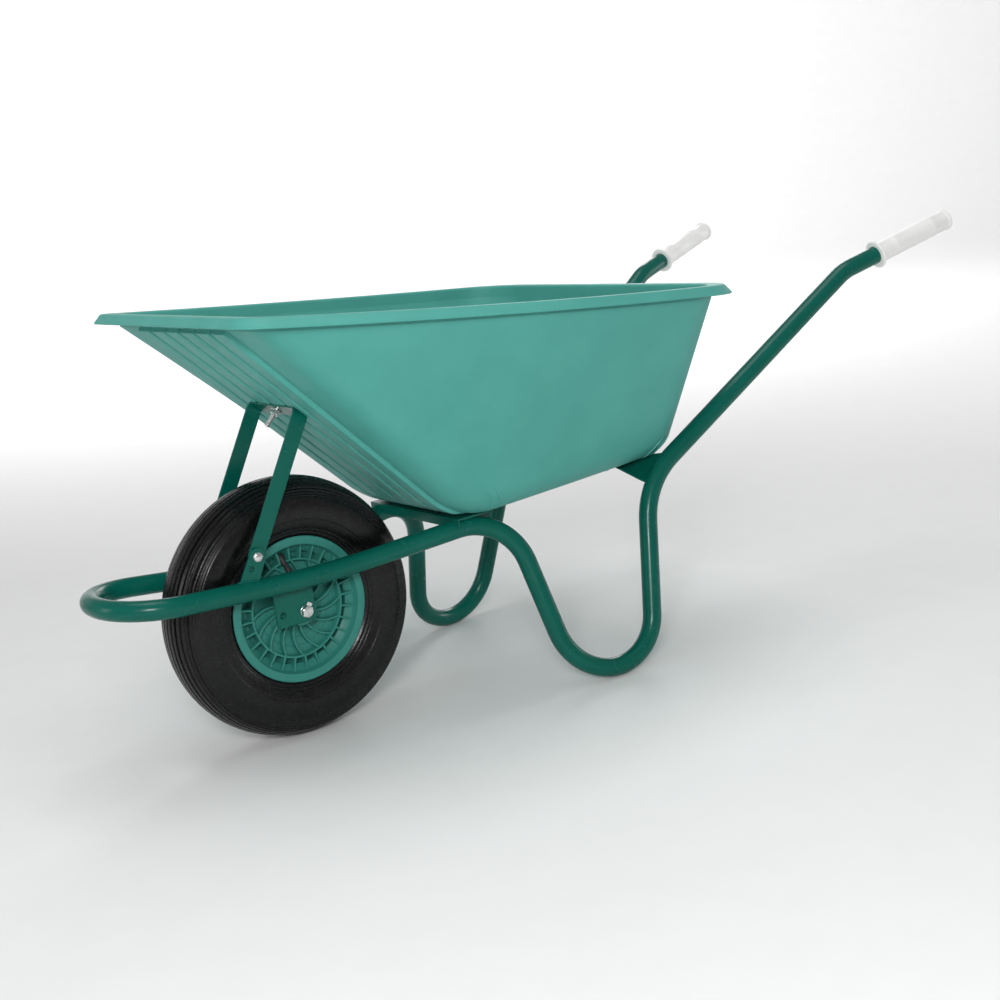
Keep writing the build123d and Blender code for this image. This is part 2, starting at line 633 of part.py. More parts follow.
with BuildPart() as valve_cap:
    with BuildSketch(Plane(origin=VALVE_END + VALVE_ALONG * 0.05, z_dir=VALVE_ALONG)) as cap_sketch:
        Circle(VALVE_STEM_RADIUS + 0.8)
    extrude(amount=VALVE_CAP_LENGTH)
    fillet(valve_cap.edges().filter_by(GeomType.CIRCLE).sort_by_distance(VALVE_END)[-1], 1.5)
save(valve_cap.part, "valve_cap")

with BuildPart() as hub_bushes:
    for hand in (1, -1):
        with BuildSketch(WHEEL_FACE.offset(hand * (HUB_HALF_WIDTH - BUSH_LENGTH))):
            Circle(BUSH_OUTER_RADIUS)
        extrude(amount=hand * BUSH_LENGTH)
        with BuildSketch(WHEEL_FACE.offset(hand * HUB_HALF_WIDTH)):
            Circle(BUSH_FLANGE_RADIUS)
        extrude(amount=hand * BUSH_FLANGE_THICKNESS)
    with BuildSketch(WHEEL_FACE):
        Circle(AXLE_SHAFT_RADIUS + RUNNING_CLEARANCE)
    extrude(amount=2 * HUB_HALF_WIDTH, both=True, mode=Mode.SUBTRACT)
save(hub_bushes.part, "hub_bushes")


# ==== axle ====

with BuildPart() as axle_shaft:
    with BuildSketch(WHEEL_FACE):
        Circle(AXLE_SHAFT_RADIUS)
    extrude(amount=AXLE_PLATE_INNER, both=True)
    for hand in (1, -1):
        with BuildSketch(WHEEL_FACE.offset(hand * AXLE_PLATE_INNER)):
            Circle(M10_RADIUS + 0.02)
        extrude(amount=-hand * (AXLE_BOLT_REACH + 2), mode=Mode.SUBTRACT)
save(axle_shaft.part, "axle_shaft")

with BuildPart() as axle_spacers:
    inner_face = HUB_HALF_WIDTH + BUSH_FLANGE_THICKNESS + SIDE_PLAY
    for hand in (1, -1):
        with BuildSketch(WHEEL_FACE.offset(hand * inner_face)):
            Circle(AXLE_SPACER_RADIUS)
            Circle(AXLE_SHAFT_RADIUS + RUNNING_CLEARANCE, mode=Mode.SUBTRACT)
        extrude(amount=hand * (AXLE_PLATE_INNER - inner_face))
save(axle_spacers.part, "axle_spacers")

AXLE_PLATE_OUTER = AXLE_PLATE_INNER + AXLE_PLATE_THICKNESS

with BuildPart() as axle_lock_washers:
    for hand in (1, -1):
        with BuildSketch(WHEEL_FACE.offset(hand * AXLE_PLATE_OUTER)):
            Circle(M10_WASHER_RADIUS)
            Circle(M10_RADIUS + 0.2, mode=Mode.SUBTRACT)
        extrude(amount=hand * WASHER_THICKNESS)
save(axle_lock_washers.part, "axle_lock_washers")

with BuildPart() as axle_bolts:
    for hand in (1, -1):
        head_seat = AXLE_PLATE_OUTER + WASHER_THICKNESS
        with BuildSketch(WHEEL_FACE.offset(hand * head_seat)):
            RegularPolygon(M10_ACROSS_FLATS / 2, 6, major_radius=False)
        extrude(amount=hand * M10_HEAD)
        with BuildSketch(WHEEL_FACE.offset(hand * head_seat)):
            Circle(M10_RADIUS)
        extrude(amount=-hand * (head_seat - AXLE_PLATE_INNER + AXLE_BOLT_REACH))
save(axle_bolts.part, "axle_bolts")


# ==== tray and stay fasteners ====

def cup_head_bolt(seat, direction, length):
    """A round headed M8 bolt: the head stands on the seat and the shank runs the other way."""
    with BuildPart() as bolt:
        with BuildSketch(Plane(origin=seat, z_dir=direction)):
            Circle(M8_HEAD_RADIUS)
        extrude(amount=M8_HEAD)
        fillet(bolt.edges().filter_by(GeomType.CIRCLE).sort_by_distance(seat)[-1], M8_HEAD * 0.6)
        with BuildSketch(Plane(origin=seat, z_dir=direction)):
            Circle(M8_RADIUS)
        extrude(amount=-length)
    return bolt.part


def washer(seat, direction):
    with BuildPart() as ring:
        with BuildSketch(Plane(origin=seat, z_dir=direction)):
            Circle(M8_WASHER_RADIUS)
            Circle(M8_RADIUS + 0.2, mode=Mode.SUBTRACT)
        extrude(amount=WASHER_THICKNESS)
    return ring.part


def nut(seat, direction):
    with BuildPart() as block:
        with BuildSketch(Plane(origin=seat, z_dir=direction)):
            RegularPolygon(M8_ACROSS_FLATS / 2, 6, major_radius=False)
            Circle(M8_RADIUS + 0.02, mode=Mode.SUBTRACT)
        extrude(amount=M8_NUT)
    return block.part


def save_group(pieces, name):
    """One node that holds several identical pieces as separate solids."""
    with BuildPart() as group:
        for piece in pieces:
            add(piece)
    save(group.part, name)


# tray bolts come down through the floor, with a washer and a nut under each crossmember
TRAY_SEATS = []
for station, offset in TRAY_BOLTS:
    front = station == FRONT_BOLT_STATION
    under = CROSS_TOP - CROSS_THICKNESS if front else REAR_CROSS_TOP - REAR_CROSS_THICKNESS
    over = floor_height(station) + WALL + 0.6
    TRAY_SEATS.append((at(station, offset, over), at(station, offset, under - 0.05)))
save_group([cup_head_bolt(top, (0, 0, 1), TRAY_BOLT_LENGTH) for top, under in TRAY_SEATS], "tray_bolts")
save_group([washer(under, (0, 0, -1)) for top, under in TRAY_SEATS], "tray_washers")
save_group([nut(under + Vector(0, 0, -WASHER_THICKNESS), (0, 0, -1)) for top, under in TRAY_SEATS],
           "tray_nuts")

# the nose bolt comes out through the front slope and the stay's crosspiece
NOSE_INSIDE = NOSE_SEAT - SLOPE_OUT * NOSE_WALL
NOSE_OUTSIDE = STAY_TOP + SLOPE_OUT * (STAY_THICKNESS + 0.02)
save(cup_head_bolt(NOSE_INSIDE, -SLOPE_OUT, NOSE_BOLT_LENGTH), "nose_bolt")
save(washer(NOSE_OUTSIDE, SLOPE_OUT), "nose_washer")
save(nut(NOSE_OUTSIDE + SLOPE_OUT * WASHER_THICKNESS, SLOPE_OUT), "nose_nut")

# the stay bolts have their round heads outside the tabs and their nuts inside the straps
STAY_BOLTS = []
STAY_NUTS = []
for side, hand in SIDES:
    outside = at(STAY_BOLT[0], side * (TAB_INNER + TAB_THICKNESS + 0.02), STAY_BOLT[1])
    inside = at(STAY_BOLT[0], side * (STAY_HALF_SPAN - STAY_THICKNESS - 0.02), STAY_BOLT[1])
    STAY_BOLTS.append(cup_head_bolt(outside, (0, side, 0), STAY_BOLT_LENGTH))
    STAY_NUTS.append(nut(inside, (0, -side, 0)))
save_group(STAY_BOLTS, "stay_bolts")
save_group(STAY_NUTS, "stay_nuts")
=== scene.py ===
import json
import math

import bmesh
import bpy
import numpy as np
from mathutils import Matrix, Vector

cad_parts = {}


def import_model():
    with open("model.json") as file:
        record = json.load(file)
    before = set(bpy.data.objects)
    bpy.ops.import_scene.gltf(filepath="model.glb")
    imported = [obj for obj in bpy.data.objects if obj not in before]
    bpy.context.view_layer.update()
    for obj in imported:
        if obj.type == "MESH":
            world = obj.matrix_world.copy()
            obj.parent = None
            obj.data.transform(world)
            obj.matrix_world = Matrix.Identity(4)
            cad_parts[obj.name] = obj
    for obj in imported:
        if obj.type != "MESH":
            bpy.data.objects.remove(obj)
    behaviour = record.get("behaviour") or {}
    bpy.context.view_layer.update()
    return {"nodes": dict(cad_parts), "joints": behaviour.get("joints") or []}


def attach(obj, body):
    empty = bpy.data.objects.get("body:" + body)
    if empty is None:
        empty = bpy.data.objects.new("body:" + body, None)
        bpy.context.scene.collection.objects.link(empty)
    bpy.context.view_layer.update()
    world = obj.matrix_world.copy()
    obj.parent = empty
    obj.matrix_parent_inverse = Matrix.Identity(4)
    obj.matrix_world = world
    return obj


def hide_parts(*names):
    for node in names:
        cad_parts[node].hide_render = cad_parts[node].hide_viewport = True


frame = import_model()

# Sizes are in millimetres. A point is (distance forward of the axle, left, height above the ground).
MM = 0.001
AXLE = Vector([joint for joint in frame["joints"] if joint["name"] == "wheel_spin"][0]["pos_m"])
WHEEL_RADIUS = 200.0
SIDES = ((1, "left"), (-1, "right"))


# ==== materials ====

def shader(name, roughness, metallic=0.0, specular=0.5):
    """A new material, with its node tree and its shader."""
    material = bpy.data.materials.new(name)
    material.use_nodes = True
    tree = material.node_tree
    surface = tree.nodes["Principled BSDF"]
    surface.inputs["Roughness"].default_value = roughness
    surface.inputs["Metallic"].default_value = metallic
    surface.inputs["Specular IOR Level"].default_value = specular
    return material, tree, surface


def noise(tree, scale, detail=3.0, stretch=(1, 1, 1)):
    """Solid noise in metres of the object, so it keeps its size on every piece."""
    place = tree.nodes.new("ShaderNodeTexCoord")
    mapping = tree.nodes.new("ShaderNodeMapping")
    mapping.inputs["Scale"].default_value = stretch
    texture = tree.nodes.new("ShaderNodeTexNoise")
    texture.inputs["Scale"].default_value = scale
    texture.inputs["Detail"].default_value = detail
    tree.links.new(place.outputs["Object"], mapping.inputs["Vector"])
    tree.links.new(mapping.outputs["Vector"], texture.inputs["Vector"])
    return texture.outputs["Fac"]


def ramp(tree, source, low, high, first, second):
    """Blends from one colour to another as the source goes from low to high."""
    blend = tree.nodes.new("ShaderNodeValToRGB")
    blend.color_ramp.elements[0].position = low
    blend.color_ramp.elements[1].position = high
    blend.color_ramp.elements[0].color = (*first, 1)
    blend.color_ramp.elements[1].color = (*second, 1)
    tree.links.new(source, blend.inputs["Fac"])
    return blend.outputs["Color"]


def spread(tree, source, low, high):
    """Stretches a noise's usable middle over a range of values."""
    stretch = tree.nodes.new("ShaderNodeMapRange")
    stretch.inputs["From Min"].default_value = 0.3
    stretch.inputs["From Max"].default_value = 0.7
    stretch.inputs["To Min"].default_value = low
    stretch.inputs["To Max"].default_value = high
    tree.links.new(source, stretch.inputs["Value"])
    return stretch.outputs["Result"]


def bump(tree, surface, height, distance):
    """A fine relief, given as its depth in metres."""
    node = tree.nodes.new("ShaderNodeBump")
    node.inputs["Strength"].default_value = 1.0
    node.inputs["Distance"].default_value = distance
    tree.links.new(height, node.inputs["Height"])
    tree.links.new(node.outputs["Normal"], surface.inputs["Normal"])


def finish_material(name, dark, light, roughness, vary, grain_scale, grain_depth, patch_scale=14.0, **kind):
    """Two close colours in soft patches, uneven gloss and a fine surface grain."""
    material, tree, surface = shader(name, roughness, **kind)
    patches = noise(tree, patch_scale, detail=4.0)
    tree.links.new(ramp(tree, patches, 0.35, 0.65, dark, light), surface.inputs["Base Color"])
    gloss = noise(tree, patch_scale * 3.1, detail=5.0)
    tree.links.new(spread(tree, gloss, roughness - vary, roughness + vary), surface.inputs["Roughness"])
    bump(tree, surface, noise(tree, grain_scale, detail=2.0), grain_depth)
    return material


TRAY = finish_material("tray_moulded_plastic", (0.075, 0.345, 0.3), (0.084, 0.372, 0.324),
                       0.5, 0.05, 900.0, 0.00006, specular=0.25)
PAINT = finish_material("frame_powder_coat", (0.001, 0.096, 0.072), (0.002, 0.108, 0.08),
                        0.24, 0.05, 500.0, 0.00005, specular=0.22)
RIM = finish_material("rim_moulded_plastic", (0.03, 0.205, 0.172), (0.036, 0.225, 0.188),
                      0.42, 0.06, 800.0, 0.00006, specular=0.3)
RUBBER = finish_material("tyre_rubber", (0.003, 0.003, 0.0033), (0.005, 0.005, 0.0054),
                         0.27, 0.06, 700.0, 0.00012, patch_scale=40.0, specular=0.3)
DULL_RUBBER = finish_material("valve_rubber", (0.012, 0.012, 0.012), (0.02, 0.02, 0.02),
                              0.55, 0.05, 900.0, 0.00005)
WHITE = finish_material("grip_plastic", (0.84, 0.84, 0.82), (0.9, 0.9, 0.89), 0.42, 0.05, 600.0, 0.00005)
NYLON = finish_material("bush_nylon", (0.03, 0.03, 0.03), (0.045, 0.045, 0.045), 0.4, 0.05, 700.0, 0.00004)
ZINC = finish_material("zinc_plate", (0.62, 0.63, 0.63), (0.78, 0.78, 0.76), 0.27, 0.08, 400.0, 0.00004,
                       patch_scale=260.0, metallic=1.0)


# ==== mesh helpers ====

def world(points):
    """Millimetre points as metres in the shared frame."""
    placed = np.array(points, float).reshape(-1, 3) * MM
    placed[:, 0] += AXLE.x
    return placed


class Shape:
    """Points and faces in millimetres, gathered piece by piece."""

    def __init__(self):
        self.points = []
        self.faces = []

    def add(self, points, faces):
        start = len(self.points)
        self.points.extend([tuple(p) for p in points])
        self.faces.extend([[start + i for i in face] for face in faces])
        return self

    def rings(self, rings, closed=False, caps=True):
        """Joins rings of equal length with quads. Closed joins the last ring to the first."""
        count = len(rings[0])
        faces = []
        last = len(rings) if closed else len(rings) - 1
        for i in range(last):
            a = i * count
            b = ((i + 1) % len(rings)) * count
            for j in range(count):
                k = (j + 1) % count
                faces.append((a + j, a + k, b + k, b + j))
        if caps and not closed:
            faces.append(tuple(range(count))[::-1])
            faces.append(tuple(range((len(rings) - 1) * count, len(rings) * count)))
        return self.add([p for ring in rings for p in ring], faces)

    def build(self, name, material, body, slot, nodes=(), angle=38.0):
        mesh = bpy.data.meshes.new(name)
        mesh.from_pydata(world(self.points).tolist(), [], self.faces)
        work = bmesh.new()
        work.from_mesh(mesh)
        bmesh.ops.remove_doubles(work, verts=work.verts, dist=1e-7)
        bmesh.ops.recalc_face_normals(work, faces=work.faces)
        work.to_mesh(mesh)
        work.free()
        mesh.materials.append(material)
        mesh.shade_smooth()
        mesh.set_sharp_from_angle(angle=math.radians(angle))
        item = bpy.data.objects.new(name, mesh)
        bpy.context.scene.collection.objects.link(item)
        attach(item, body)
        if nodes:
            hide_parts(*nodes)
        return item


def unit(v):
    v = np.array(v, float)
    return v / np.linalg.norm(v)


def basis(axis):
    """Two directions square to an axis."""
    axis = unit(axis)
    helper = np.array((0, 0, 1.0)) if abs(axis[2]) < 0.9 else np.array((1.0, 0, 0))
    first = unit(np.cross(helper, axis))
    return first, np.cross(axis, first)


def lathe(shape, profile, origin, axis, segments=64, closed=False, radius_at=None):
    """Turns (distance along the axis, radius) points about the axis through the origin."""
    axis = unit(axis)
    first, second = basis(axis)
    rings = []
    for along, radius in profile:
        ring = []
        for i in range(segments):
            turn = 2 * math.pi * i / segments
            r = radius_at(along, radius, turn) if radius_at else radius
            ring.append(np.array(origin) + axis * along
                        + (first * math.cos(turn) + second * math.sin(turn)) * r)
        rings.append(ring)
    return shape.rings(rings, closed=closed)


def rounded_path(points, radii, step=4.0):
    """Straight runs joined by tangent arcs, as a list of points."""
    points = [np.array(p, float) for p in points]
    path = [points[0]]
    for before, corner, after, radius in zip(points, points[1:], points[2:], radii):
        back, ahead = unit(before - corner), unit(after - corner)
        turn = math.pi - math.acos(float(np.clip(back @ ahead, -1, 1)))
        middle = unit(back + ahead)
        centre = corner + middle * radius / math.cos(turn / 2)
        start = corner + back * radius * math.tan(turn / 2)
        u = unit(start - centre)
        v = -back
        count = max(5, int(math.degrees(turn) / step))
        for i in range(count + 1):
            a = turn * i / count
            path.append(centre + (u * math.cos(a) + v * math.sin(a)) * radius)
    path.append(points[-1])
    return path


def tube(shape, path, radius, segments=40, radius_at=None):
    """A round bar along a path, with its section carried along without twist."""
    path = [np.array(p, float) for p in path]
    tangents = []
    for i in range(len(path)):
        tangents.append(unit(path[min(i + 1, len(path) - 1)] - path[max(i - 1, 0)]))
    first = basis(tangents[0])[0]
    rings = []
    for i, (point, tangent) in enumerate(zip(path, tangents)):
        first = unit(first - tangent * (first @ tangent))
        second = np.cross(tangent, first)
        r = radius_at(i) if radius_at else radius
        rings.append([point + (first * math.cos(2 * math.pi * k / segments)
                               + second * math.sin(2 * math.pi * k / segments)) * r for k in range(segments)])
    return shape.rings(rings)


def inset_loop(loop, amount):
    """Moves a closed 2-D loop inward (for one that runs anticlockwise) by an amount."""
    loop = np.array(loop, float)
    before = loop - np.roll(loop, 1, axis=0)
    after = np.roll(loop, -1, axis=0) - loop
    before /= np.linalg.norm(before, axis=1)[:, None]
    after /= np.linalg.norm(after, axis=1)[:, None]
    normal = np.stack([-(before[:, 1] + after[:, 1]), before[:, 0] + after[:, 0]], axis=1)
    size = np.linalg.norm(normal, axis=1)[:, None]
    normal /= size
    scale = 1 / np.maximum(0.5, (normal[:, 0] * -before[:, 1] + normal[:, 1] * before[:, 0]))
    return loop + normal * scale[:, None] * amount


def plate(shape, outer, holes, origin, u, v, thickness, chamfer=0.7):
    """A flat plate with chamfered edges and round holes: outline in (u, v), thickness along u x v."""
    n = np.cross(u, v)

    def place(loop, height):
        return [np.array(origin) + np.array(u) * p[0] + np.array(v) * p[1] + n * height for p in loop]

    tops, bottoms = [], []
    for loop in [outer] + list(holes):
        inner = inset_loop(loop, chamfer)
        rings = [place(inner, 0), place(loop, chamfer),
                 place(loop, thickness - chamfer), place(inner, thickness)]
        shape.rings(rings, caps=False)
        bottoms.append(rings[0])
        tops.append(rings[-1])
    for loops in (bottoms, tops):
        work = bmesh.new()
        edges = []
        for loop in loops:
            verts = [work.verts.new(p) for p in loop]
            edges += [work.edges.new((verts[i], verts[(i + 1) % len(verts)])) for i in range(len(verts))]
        bmesh.ops.triangle_fill(work, use_beauty=True, edges=edges)
        work.verts.index_update()
        shape.add([v.co for v in work.verts], [[v.index for v in f.verts] for f in work.faces])
        work.free()
    return shape


def circle(centre, radius, count=32, clockwise=False):
    turn = -1 if clockwise else 1
    return [(centre[0] + radius * math.cos(turn * 2 * math.pi * i / count),
             centre[1] + radius * math.sin(turn * 2 * math.pi * i / count)) for i in range(count)]


def rounded_polygon(points, radii, step=9.0):
    """A closed polygon with each corner rounded by its own radius."""
    loop = []
    count = len(points)
    for i in range(count):
        before, corner, after = (np.array(points[(i + k) % count], float) for k in (-1, 0, 1))
        back, ahead = unit(before - corner), unit(after - corner)
        turn = math.pi - math.acos(float(np.clip(back @ ahead, -1, 1)))
        centre = corner + unit(back + ahead) * radii[i] / math.cos(turn / 2)
        u = unit(corner + back * radii[i] * math.tan(turn / 2) - centre)
        steps = max(3, int(math.degrees(turn) / step))
        for k in range(steps + 1):
            a = turn * k / steps
            loop.append(tuple(centre + (u * math.cos(a) - back * math.sin(a)) * radii[i]))
    return loop


# ==== tray ====

RIM_SIZES = np.array((122.0, -705.0, 255.0, 328.0, 36.0, 45.0, 94.0))
SHELF = 9.0
SHOULDER_SIZES = RIM_SIZES + np.array((-24.0, 20.0, -SHELF, -SHELF, 0, 0, 0))
FLOOR_SIZES = np.array((-253.0, -668.0, 158.0, 172.0, 4.0, 52.0, 60.0))
RIM_HEIGHT, RIM_SLOPE = 652.0, 0.0965
SHOULDER_DOWN = 20.0
FLOOR_HEIGHT, FLOOR_SLOPE = 291.0 - 253.0 * 0.053, -0.053
EDGE_CLIMB, EDGE_INSET = 0.12, 24.0
WALL = 5.0
RIM_SAG = 4.0
RIBS = 3
RIB_HEIGHT = 6.0
RIB_FLOOR_HALF, RIB_TOP_HALF = 121.0, 150.0


def circle_through(a, b, c):
    """Centre and radius of the circle through three 2-D points."""
    matrix = np.array([[b[0] - a[0], b[1] - a[1]], [c[0] - a[0], c[1] - a[1]]]) * 2
    right = np.array([b[0] ** 2 + b[1] ** 2 - a[0] ** 2 - a[1] ** 2,
                      c[0] ** 2 + c[1] ** 2 - a[0] ** 2 - a[1] ** 2])
    centre = np.linalg.solve(matrix, right)
    return centre, float(np.hypot(*(np.array(a) - centre)))


def along(points, distances):
    """Points at fractions of a polyline's length."""
    points = np.array(points, float)
    run = np.concatenate([[0], np.cumsum(np.linalg.norm(np.diff(points, axis=0), axis=1))])
    return np.stack([np.interp(np.array(distances) * run[-1], run, points[:, k]) for k in (0, 1)], axis=1)


# share of a rib's pitch, and share of its height; below zero is the groove between ribs
RIB_PROFILE = ((0.0, -0.55), (0.08, -0.55), (0.09, -0.4), (0.1, 0.5), (0.11, 0.92), (0.13, 1.0), (0.3, 1.0),
               (0.5, 1.0), (0.7, 1.0), (0.87, 1.0), (0.89, 0.92), (0.9, 0.5), (0.91, -0.4), (0.92, -0.55))


def tray_half(sizes, inset, rib_half):
    """The outline's left half from the front's middle to the rear's middle, and each point's rib height."""
    front, rear, front_half, rear_half, bulge, front_corner, rear_corner = sizes
    front, rear, front_half, rear_half = front - inset, rear + inset, front_half - inset, rear_half - inset
    front_corner, rear_corner = front_corner - inset, rear_corner - inset
    middle = ((front + rear) / 2, (front_half + rear_half) / 2 + bulge)
    centre, big = circle_through((front, front_half), middle, (rear, rear_half))

    def corner(x, radius):
        y = centre[1] + math.sqrt((big - radius) ** 2 - (x - centre[0]) ** 2)
        return np.array((x, y)), math.atan2(y - centre[1], x - centre[0])

    a_centre, a_angle = corner(front - front_corner, front_corner)
    b_centre, b_angle = corner(rear + rear_corner, rear_corner)
    nose = [(front, 0.0), (front, a_centre[1])]
    nose += [tuple(a_centre + front_corner * np.array((math.cos(t), math.sin(t))))
             for t in np.linspace(0, a_angle, 25)[1:]]
    nose = np.array(nose)
    rib_y = [(k + f) / RIBS * rib_half for k in range(RIBS) for f, h in RIB_PROFILE] + [rib_half]
    heights = [h for k in range(RIBS) for f, h in RIB_PROFILE] + [0.0]
    points = [(float(np.interp(y, nose[:, 1], nose[:, 0])), y) for y in rib_y]
    rest = np.array([points[-1]] + [tuple(p) for p in nose if p[1] > rib_half + 0.01])
    points += [tuple(p) for p in along(rest, np.linspace(0, 1, 20)[1:])]
    side = [tuple(centre + big * np.array((math.cos(t), math.sin(t))))
            for t in np.linspace(a_angle, b_angle, 40)[1:]]
    rear_arc = [tuple(b_centre + rear_corner * np.array((math.cos(t), math.sin(t))))
                for t in np.linspace(b_angle, math.pi, 18)[1:]]
    back = [(rear, float(y)) for y in np.linspace(b_centre[1], 0, 12)[1:]]
    points += side + rear_arc + back
    heights += [0.0] * (len(points) - len(heights))
    return np.array(points), np.array(heights)


SLOPE_OUT = unit((0.69, 0, -0.72))


def tray_ring(sizes, inset, height, slope, rib_half=RIB_TOP_HALF, rib=0.0, sag=0.0):
    half, heights = tray_half(sizes, inset, rib_half)
    full = np.concatenate([half, (half * (1, -1))[-2:0:-1]])
    raised = np.concatenate([heights, heights[-2:0:-1]]) * rib * RIB_HEIGHT
    length = math.hypot(1, slope)
    stations = full[:, 0] / length
    mid = (stations - RIM_SIZES[1]) / (RIM_SIZES[0] - RIM_SIZES[1])
    drop = sag * RIM_SAG * 4 * np.clip(mid, 0, 1) * (1 - np.clip(mid, 0, 1))
    ring = np.stack([stations, full[:, 1], height + stations * slope - drop], axis=1)
    return ring + raised[:, None] * SLOPE_OUT


def edge_inset(climb):
    if climb >= EDGE_CLIMB:
        return 0.0
    u = 1 - climb / EDGE_CLIMB
    return EDGE_INSET * (1 - math.sqrt(max(0.0, 1 - u * u)))


def edge_ring(climb, inset=0.0, up=0.0, rib=0.0):
    """The tray's outline at a height given as a fraction of the climb from floor to shoulder."""
    sizes = FLOOR_SIZES + (SHOULDER_SIZES - FLOOR_SIZES) * climb
    height = FLOOR_HEIGHT + (RIM_HEIGHT - SHOULDER_DOWN - FLOOR_HEIGHT) * climb
    slope = FLOOR_SLOPE + (RIM_SLOPE - FLOOR_SLOPE) * climb
    half = RIB_FLOOR_HALF + (RIB_TOP_HALF - RIB_FLOOR_HALF) * climb
    return tray_ring(sizes, inset + edge_inset(climb), height + up, slope, half, rib, climb ** 2)


def wall_ring(climb, inset=0.0, up=0.0, rib=0.0):
    """Above the rounded floor edge the wall is straight up to the shoulder."""
    if climb <= EDGE_CLIMB:
        return edge_ring(climb, inset, up, rib)
    share = (climb - EDGE_CLIMB) / (1 - EDGE_CLIMB)
    return edge_ring(EDGE_CLIMB, inset, up, rib) * (1 - share) + edge_ring(1.0, inset, 0.0, rib) * share


def rim_ring(inset, down):
    if inset >= SHELF:
        return tray_ring(SHOULDER_SIZES, inset - SHELF, RIM_HEIGHT - down, RIM_SLOPE, sag=1.0)
    return tray_ring(RIM_SIZES, inset, RIM_HEIGHT - down, RIM_SLOPE, sag=1.0)


def shrink(ring, factor):
    centre = ring.mean(axis=0)
    return centre + (ring - centre) * factor


EDGE_CLIMBS = [EDGE_CLIMB * (1 - math.sin(t)) for t in np.linspace(math.pi / 2, 0, 13)]
WALL_CLIMBS = list(np.linspace(EDGE_CLIMB, 1, 15))[1:]
# inset from the crest and drop below it, round the rolled rim from the outside in
RIM_PROFILE = ((9.0, 19.0), (9.0, 7.5), (8.4, 5.0), (6.6, 3.6), (2.5, 3.4), (0.2, 4.2), (-2.2, 6.8),
               (-6.0, 11.4), (-8.2, 14.2), (-9.0, 15.0), (-10.9, 15.0), (-11.5, 14.4), (-11.5, 13.2),
               (-10.6, 12.0), (-7.2, 7.9), (-3.0, 2.9), (-1.4, 1.2), (0.4, 0.3), (3.0, 0.0), (8.0, 0.0),
               (11.0, 0.3), (12.8, 1.1), (13.8, 2.6), (14.0, 5.0), (14.0, 19.5))

floor_under = wall_ring(0)
rings = [shrink(floor_under, f) for f in (0.05, 0.3, 0.55, 0.8, 0.93)]
for climb in EDGE_CLIMBS:
    rings.append(wall_ring(climb, rib=float(np.clip((climb - 0.004) / 0.03, 0, 1))))
for climb in WALL_CLIMBS[:-1]:
    rings.append(wall_ring(climb, rib=1.0))
rings.append(wall_ring(0.998, rib=1.0))
rings.append(wall_ring(1.0, rib=0.2))
rings += [rim_ring(*point) for point in RIM_PROFILE]
for climb in WALL_CLIMBS[::-1]:
    rings.append(wall_ring(climb, WALL, WALL))
for climb in EDGE_CLIMBS[::-1]:
    rings.append(wall_ring(climb, WALL, WALL))
rings += [shrink(rings[-1], f) for f in (0.93, 0.8, 0.55, 0.3, 0.05)]
Shape().rings(rings).build("tray_shell", TRAY, "frame", "tray_green", ["tray"], angle=55)


# ---- raised moulding lines that wrap the floor's edge near its corners ----

def crease(shape, station, low, high):
    """A thin ridge up the side wall at a station, from the floor's edge to a share of the climb."""
    for side in (1, -1):
        line = []
        for climb in np.linspace(low, high, 16):
            half = wall_ring(climb)[:109]
            flank = half[(half[:, 1] > 60) & (half[:, 0] < -150)]
            flank = flank[np.argsort(flank[:, 0])]
            lean = station + 22.0 * math.copysign(1, station + 460) * (climb / high) ** 2
            line.append((lean, side * float(np.interp(lean, flank[:, 0], flank[:, 1])),
                         float(np.interp(lean, flank[:, 0], flank[:, 2]))))
        tube(shape, line, 1.9, 10, lambda i: 1.9 * min(1.0, (i + 1) / 4, (16 - i) / 4))


creases = Shape()
for station in (-290.0, -306.0, -600.0, -616.0):
    crease(creases, station, 0.0, 0.13)
creases.build("tray_moulding_lines", TRAY, "frame", "tray_green", angle=80)


# ==== frame tube ====

TUBE_RADIUS = 15.0
LOOP_CORNER = (295.0, 98.0, 280.0)
WHEEL_BEND = (-30.0, 62.0, 248.0)
LEG_FRONT_TOP = (-333.0, 132.0, 281.0)
FOOT_FRONT = (-358.0, 220.0, 33.15)
FOOT_REAR = (-501.0, 248.0, -3.85)
LEG_REAR_TOP = (-573.0, 192.0, 280.0)
HANDLE_BEND = (-1003.0, 259.0, 558.0)
HANDLE_END = (-1224.0, 304.0, 616.0)
HALF = [HANDLE_END, HANDLE_BEND, LEG_REAR_TOP, FOOT_REAR, FOOT_FRONT, LEG_FRONT_TOP, WHEEL_BEND, LOOP_CORNER]
HALF_RADII = [90.0, 145.0, 84.0, 92.0, 90.0, 500.0, 84.0]
GRIP_WALL = 6.0

handle_way = unit(np.array(HANDLE_END) - np.array(HANDLE_BEND))
tube_start = np.array(HANDLE_END) - handle_way * GRIP_WALL
left_half = [tuple(tube_start)] + HALF[1:]
right_half = [(x, -y, z) for x, y, z in left_half]
frame_path = rounded_path(left_half + right_half[::-1], HALF_RADII + HALF_RADII[::-1])
tube(Shape(), frame_path, TUBE_RADIUS, 48).build(
    "frame_tube", PAINT, "frame", "frame_green",
    ["front_loop_tube", "left_leg_tube", "right_leg_tube", "left_handle_tube", "right_handle_tube"])

far_corner = (LOOP_CORNER[0], -LOOP_CORNER[1], LOOP_CORNER[2])
left_path = np.array(rounded_path(left_half + [far_corner], HALF_RADII))
rail = left_path[(left_path[:, 0] > -260) & (left_path[:, 2] > 235)]
rail = rail[np.argsort(rail[:, 0])]


def rail_at(station):
    """Side and height of the left rail's centre line at a station."""
    stations, sides, heights = rail.T
    return float(np.interp(station, stations, sides)), float(np.interp(station, stations, heights))


# ==== grips ====

